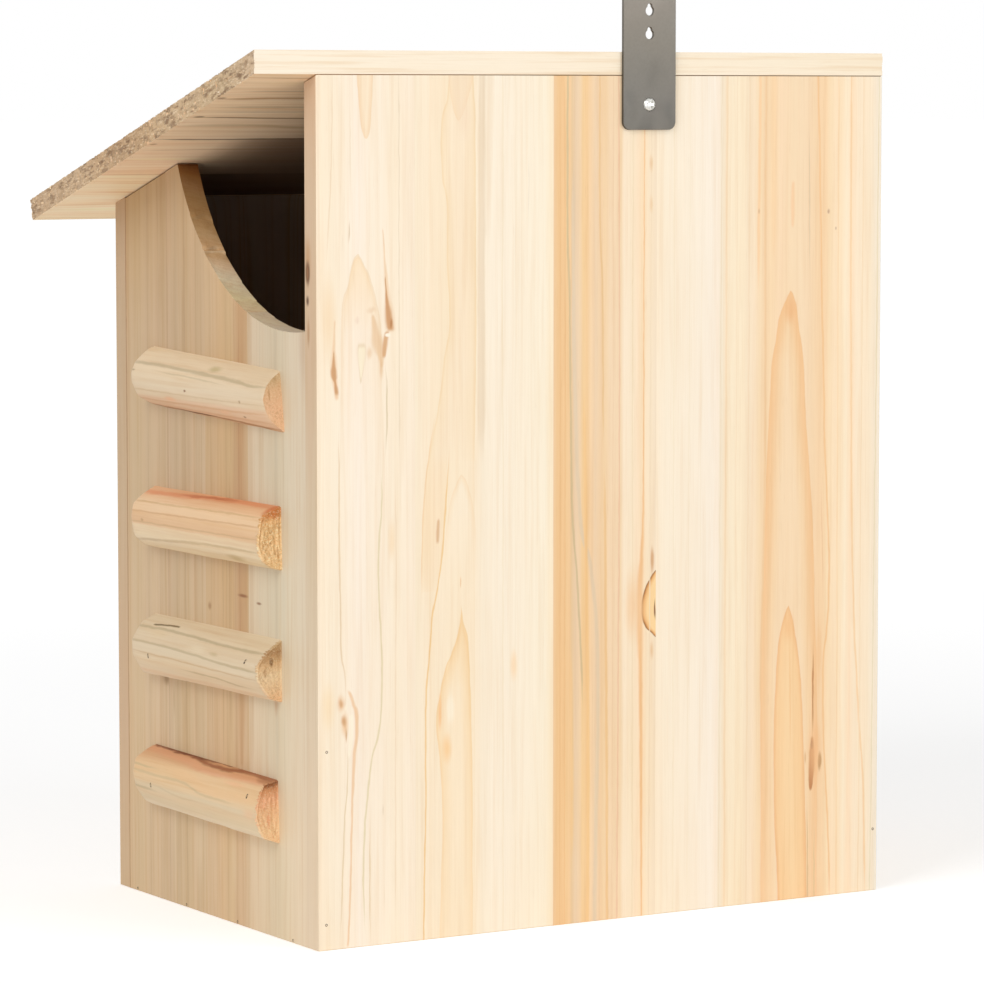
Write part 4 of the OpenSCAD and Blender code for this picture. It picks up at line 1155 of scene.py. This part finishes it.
def splinters(bm, section, x, seed, count):
    """Pale slivers left standing along the lower edge of the roof's end over the mouth."""
    picks = random.Random(seed)
    for _ in range(count):
        at = section[0].lerp(section[3], picks.uniform(0.02, 0.98))
        base = Vector((x - picks.uniform(0.5, 2.2) * MM, at.x, at.y)) + ROOF_UP * 0.25 * MM
        reach = Vector((-picks.uniform(0.2, 1.6), 0, 0)) + ROOF_DOWN * picks.uniform(-1.3, 1.3)
        wide = reach.cross(ROOF_UP).normalized() * picks.uniform(0.15, 0.3)
        tip = base + (reach - ROOF_UP * picks.uniform(0.35, 0.6)) * MM
        corners = [bm.verts.new(p) for p in (base + wide * MM, base - wide * MM,
                                             base + (ROOF_UP * 0.4 - reach * 0.2) * MM, tip)]
        for trio in ((0, 1, 2), (0, 1, 3), (1, 2, 3), (0, 2, 3)):
            bm.faces.new([corners[k] for k in trio])


NEAR_STAVE = 4
ROOF_EDGE = ([(0, "F9EBD5"), (319, "F8E8CE")], 1.0)
for i in ROOF_STAVES:
    low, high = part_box(f"roof_stave_{i}")
    section = roof_section(i)
    start = (section[0] - UNDER_REAR).length / MM
    width = (section[3] - section[0]).length / MM
    length = (high.x - low.x) / MM
    middle, below = ROOF_PITH[i]
    middle += start
    reach = start - NEAR_STAVE, start + width + NEAR_STAVE
    material = wood(
        f"fir_roof_{i}", ROOF, 80 + i,
        bands=[(start + width * k / 8, ROOF_LIT_TONES[i][k % 2]) for k in range(9)],
        rings=([(0, middle), (length / 2, middle + 2), (length, middle + 3)],
               [(0, below), (length / 2, below + 2), (length, below - 1)], 2.6, 0.55),
        strokes=[s for s in ROOF_STROKES if reach[0] < s[0][0][1] < reach[1]],
        marks=[m for m in ROOF_MARKS if reach[0] < m[0] < reach[1]], wander=0.8, streaks=0.5,
        ends=(ROOF_END, 1.0, "7E6044", 0.8, 0.5), end_grain=(0.17, 0.5, 3, 0.6), indoor_shade=ROOF_INDOOR_SHADE[i],
        edge=ROOF_EDGE if i == ROOF_STAVES[0] else None)
    bm = torn_board(section, (high.x, low.x), 11 + i, i == ROOF_STAVES[0], i == ROOF_STAVES[-1])
    splinters(bm, section, high.x, 30 + i, round(width * 0.9))
    new_piece(f"roof_stave_{i}_fir", bm, material, "fir_roof", f"roof_stave_{i}")


# The rungs: split pieces with a hewn section and torn ends
RUNG_TEARS = {1: 0.15, 2: 1.1, 3: 0.55, 4: 0.7}
DEEPEST_PIT = 1.2
# Sections along a rung, cells across a facet and across the side on the wall, rings of an end
STATIONS, FACET, WALL_SIDE, CAP_RINGS = 96, 6, 8, 16


def rung_corners(node):
    """The corners of a CAD rung's two ends, rear and front, each from the low one up."""
    low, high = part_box(node)
    ends = []
    for rear in (True, False):
        found = distinct(vertex.co.copy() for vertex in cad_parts[node].data.vertices
                         if (vertex.co.y > (low.y + high.y) / 2) == rear)
        middle = sum((c.z for c in found), 0.0) / len(found)
        ends.append(sorted(found, key=lambda c: math.atan2(c.z - middle, c.x - MOUTH_X + 1e-9)))
    return ends


def rung_loop(i, corners, axis, run, run_length):
    """The rung's section at a distance run along it, with wavering creases, uneven facets and
    worn ends; lengths in millimetres."""
    middle = (corners[0] + corners[-1]) / 2

    def waver(*place):
        return noise.noise(Vector(place))

    def inwards(spot, far):
        return spot + (middle - spot).normalized() * far * MM
    for n in range(1, len(corners) - 1):
        away = (corners[n] - middle).normalized()
        slow, ripple = waver(run * 0.045, n * 9.1, i * 3.7), waver(run * 0.35, n * 5.3, i * 2.9)
        corners[n] += axis.cross(away) * (0.7 * slow + 0.15 * ripple) * MM
        corners[n] -= away * (0.2 + 0.25 * slow + 0.08 * ripple) * MM
    ring = []
    for n in range(len(corners) - 1):
        for m in range(FACET):
            f = m / FACET
            uneven = waver(run * 0.07, (n + f) * 1.3, i * 4.1)
            fibre = waver(run * 0.05, (n + f) * 7.0, i * 6.1)
            sunk = 0.15 + 0.22 * uneven + 0.1 * fibre - 0.15 * math.sin(math.pi * f)
            ring.append(inwards(corners[n].lerp(corners[n + 1], f), sunk))
    ring.append(corners[-1])
    eased = [here * 0.7 + (before + after) * 0.15
             for before, here, after in zip(ring, ring[1:], ring[2:])]
    worn = max(0.0, 1 - min(run, run_length - run)) ** 2 * 0.45
    loop = [inwards(spot, worn) for spot in (ring[0], *eased, ring[-1])]
    for spot in loop:
        spot.x = max(spot.x, MOUTH_X)
    loop[0].x = loop[-1].x = MOUTH_X
    return loop + [loop[-1].lerp(loop[0], (n + 1) / WALL_SIDE) for n in range(WALL_SIDE - 1)]


def rung_mesh(i):
    """A rung lofted between its CAD ends, which are torn."""
    rear, front = rung_corners(f"rung_{i}")
    span = front[0] - rear[0]
    bm = bmesh.new()
    loops = [rung_loop(i, [a.lerp(b, k / STATIONS) for a, b in zip(rear, front)],
                       span.normalized(), k / STATIONS * span.length / MM, span.length / MM)
             for k in range(STATIONS + 1)]
    rings_of = [[bm.verts.new(p) for p in loop] for loop in loops]
    size = len(rings_of[0])
    around = [(n, (n + 1) % size) for n in range(size)]
    for a, b in zip(rings_of, rings_of[1:]):
        for n, m in around:
            bm.faces.new((a[n], a[m], b[m], b[n]))
    for outer, loop, into in ((rings_of[0], loops[0], -1), (rings_of[-1], loops[-1], 1)):
        centre = sum(loop, Vector()) / size
        for r in range(1, CAP_RINGS):
            inner = []
            for point in loop:
                spot = centre.lerp(point, 1 - r / CAP_RINGS)
                rough = rough_noise(Vector((spot.x, spot.z, i * 0.01)) * 700, 3)
                sink = RUNG_TEARS[i] * max(0.0, 0.35 + 0.8 * rough) * min(1.0, r / 2)
                spot.y += into * min(DEEPEST_PIT, sink) * MM
                inner.append(bm.verts.new(spot))
            for n, m in around:
                bm.faces.new((outer[n], outer[m], inner[m], inner[n]))
            outer = inner
        hub = bm.verts.new(centre + Vector((0, into * 0.3 * RUNG_TEARS[i] * MM, 0)))
        for n, m in around:
            bm.faces.new((outer[n], outer[m], hub))
    return bm


RUNG_FRAY = {1: 1.0, 2: 3.2, 3: 2.6, 4: 2.8}
RUNG_NAILS = {3: [(136.6, -3.5), (44.4, 3.9)], 4: [(136.3, -1.4), (45.7, 5.7)]}
rung_nail_spots = []
for i, looks in RUNG_LOOKS.items():
    low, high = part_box(f"rung_{i}")
    half_way = (low.z + high.z) / 2
    board = Board((MOUTH_X, BACK_Y, half_way), (0, 0, 1), (1, 0, 0), (0, -1, 0), SHADE)
    material = wood(f"rung_wood_{i}", board, 90 + i, wander=0.6, streaks=0.3,
                    fray=((BACK_Y - high.y) / MM, RUNG_FRAY[i]), **looks)
    bm = rung_mesh(i)
    bmesh.ops.recalc_face_normals(bm, faces=bm.faces)
    surface = BVHTree.FromBMesh(bm)
    for v, rise in RUNG_NAILS.get(i, ()):
        outside = Vector((MOUTH_X + 0.05, BACK_Y - v * MM, half_way + rise * MM))
        spot, out, _, _ = surface.ray_cast(outside, Vector((-1, 0, 0)))
        rung_nail_spots.append((spot, out))
    new_piece(f"rung_{i}_split", bm, material, "rung_wood", f"rung_{i}")


# ---------------------------------------------------------------------------------------------
# Metal
# ---------------------------------------------------------------------------------------------
def steel():
    """Dull rolled strip, paler towards its top: the paling is a painted reflection."""
    g = new_graph("strip_steel")
    place = g.place()
    height = g.vector("DOT_PRODUCT", place, (0, 0, 1 / MM))
    cloud = g.noise(place, (45, 45, 28), 6, detail=2.0)
    blotch = g.noise(place, (60, 60, 45), 3, detail=4.0)
    grit = g.noise(place, (900, 900, 900), 5, detail=3.0)
    # The strip's grey grows paler upwards: painted reflection
    colour = g.ramp(height, tones([(345, "504E49"), (358, "555350"), (372, "5E5A54"),
                                   (384, "666159"), (410, "726C65")], 1.0))
    colour = g.blend(g.soft(cloud, 0.42, 0.62, 0.0, 0.4), colour, srgb("7E7A72"))
    colour = g.blend(g.remap(blotch, 0.4, 0.65, 0.0, 0.35), colour, srgb("6C665E"))
    colour = g.blend(g.remap(grit, 0.4, 0.7, 0.0, 0.15), colour, srgb("595650"))
    roughness = g.remap(cloud, 0.3, 0.7, 0.34, 0.52)
    return g.finish(colour, roughness, grit, 0.02, metallic=0.9)


def gritty(name, scale, seed, dark, pale, smoothest, roughest, metallic):
    """Fine-grained metal of small parts."""
    g = new_graph(name)
    grit = g.noise(g.place(), (scale, scale, scale), seed, detail=2.0)
    colour = g.ramp(grit, tones([(0.3, dark), (0.7, pale)], 1.0))
    return g.finish(colour, g.remap(grit, 0.3, 0.7, smoothest, roughest), grit, 0.01, metallic)


bm = solid_of("hanger_strip")
ease(bm, STEEL_EASE)
new_piece("hanger_strip_steel", bm, steel(), "strip_steel", "hanger_strip", flat=0.97)
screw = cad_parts["hanger_screw"]
screw.data.materials.clear()
screw.data.materials.append(gritty("screw_zinc", 1200, 8, "C9C8C2", "E6E5E0", 0.2, 0.32, 1.0))

# Nails, driven flush: (place, way out) for each head
NAIL_R = 0.6
NAIL_SIDES = 16
NAIL_DISH = -0.04
NAIL_PROFILE = [(NAIL_R * 0.55, 0.0), (NAIL_R * 0.9, 0.1), (NAIL_R, 0.02), (NAIL_R, -0.6)]


def nail_heads(name, heads, material, tall=1.0):
    """Small dished heads, one closed solid each, joined into one piece."""
    bm = bmesh.new()
    around = [(k, (k + 1) % NAIL_SIDES) for k in range(NAIL_SIDES)]
    step = 2 * math.pi / NAIL_SIDES
    for place, out in heads:
        turn = Vector(out).to_track_quat("Z", "Y").to_matrix()

        def corner(x, y, h):
            return bm.verts.new(Vector(place) + turn @ Vector((x, y, h)) * MM)
        rings_of = [[corner(r * math.cos(k * step), r * tall * math.sin(k * step), h)
                     for k, _ in around] for r, h in NAIL_PROFILE]
        top = corner(0, 0, NAIL_DISH)
        for a, b in zip(rings_of, rings_of[1:]):
            for k, m in around:
                bm.faces.new((a[k], a[m], b[m], b[k]))
        for k, m in around:
            bm.faces.new((rings_of[0][k], rings_of[0][m], top))
        bm.faces.new(rings_of[-1])
    return new_piece(name, bm, material, "screw_zinc")


iron = gritty("nail_iron", 1500, 2, "4A3A2C", "76644F", 0.45, 0.6, 0.6)
nail_heads("nails_back_wall", [((MOUTH_X - u * MM, BACK_Y, z * MM), (0, 1, 0))
                               for u, z in ((4.2, 84.9), (3.8, 11), (287.6, 28.3))], iron)
nail_heads("nails_mouth_wall", [((MOUTH_X, BACK_Y - v * MM, 1.2 * MM), (1, 0, 0))
                                for v in (22.8, 73.8, 122.8, 171.6)], iron)
nail_heads("nails_rungs", rung_nail_spots, iron, tall=1.9)


# ---------------------------------------------------------------------------------------------
# Floor, light and camera
# ---------------------------------------------------------------------------------------------
FLOOR_HALF = 60.0
FLOOR_GLOW = 0.08
PAPER = (0.92, 0.92, 0.92, 1)
AMBIENT = 0.54
LENS, FILM = 163.6, 36.0
CAMERA_AT = (1.0413, 1.7366, 0.3597)
CAMERA_TURN = (149.116, 5.024, -0.011)  # azimuth, look down and roll, in degrees


def studio_floor():
    """Pale floor that keeps the box's shadow and is white to the camera elsewhere."""
    bm = bmesh.new()
    bmesh.ops.create_grid(bm, x_segments=2, y_segments=2, size=FLOOR_HALF)
    mesh = bpy.data.meshes.new("studio_floor")
    bm.to_mesh(mesh)
    bm.free()
    floor = bpy.data.objects.new("studio_floor", mesh)
    bpy.context.scene.collection.objects.link(floor)
    g = new_graph("floor_paper")
    level = g.soft(g.vector("LENGTH", g.place()), 0.3, 2.0, 0.26, 0.46)
    strength = g.math("MULTIPLY_ADD", g.seen_plainly(), level, FLOOR_GLOW)
    paper = g.node("BsdfDiffuse", {"Color": PAPER})
    glow = g.node("Emission", {"Color": WHITE, "Strength": strength})
    both = g.node("AddShader", {0: paper.outputs[0], 1: glow.outputs[0]})
    g.node("OutputMaterial", {"Surface": both.outputs[0]})
    mesh.materials.append(g.owner)


def studio_world():
    """White to the camera, and a softer even light on everything else."""
    world = bpy.data.worlds.new("studio")
    bpy.context.scene.world = world
    g = Graph(world)
    strength = g.remap(g.seen_plainly(), 0.0, 1.0, AMBIENT, 1.0)
    background = g.node("Background", {"Color": WHITE, "Strength": strength})
    g.node("OutputWorld", {"Surface": background.outputs[0]})


def softbox(name, at, aim, size, watts):
    data = bpy.data.lights.new(name, "AREA")
    data.size = size
    data.energy = watts
    lamp = bpy.data.objects.new(name, data)
    lamp.location = at
    lamp.rotation_euler = (Vector(aim) - Vector(at)).to_track_quat("-Z", "Y").to_euler()
    lamp.visible_camera = False
    bpy.context.scene.collection.objects.link(lamp)


def camera():
    """Long lens, a little above the box and off its rear corner on the mouth's side."""
    data = bpy.data.cameras.new("camera")
    data.lens = LENS
    data.sensor_width = FILM
    data.clip_end = 200.0
    shot = bpy.data.objects.new("camera", data)
    azimuth, down, roll = (math.radians(a) for a in CAMERA_TURN)
    turn = (Matrix.Rotation(azimuth, 4, "Z") @ Matrix.Rotation(math.pi / 2 - down, 4, "X")
            @ Matrix.Rotation(roll, 4, "Z"))
    shot.matrix_world = Matrix.Translation(CAMERA_AT) @ turn
    bpy.context.scene.collection.objects.link(shot)
    bpy.context.scene.camera = shot


studio_floor()
studio_world()
softbox("key", (-1.1, 2.2, 0.8), (0, 0, 0.18), 1.3, 15.8)
softbox("side_fill", (1.25, 0.6, 1.15), (MOUTH_X, 0, 0.2), 0.8, 8)
softbox("low_fill", (1.7, 1.1, 0.2), (MOUTH_X, 0, 0.25), 0.5, 3)
camera()
bpy.context.scene.view_settings.view_transform = "Standard"
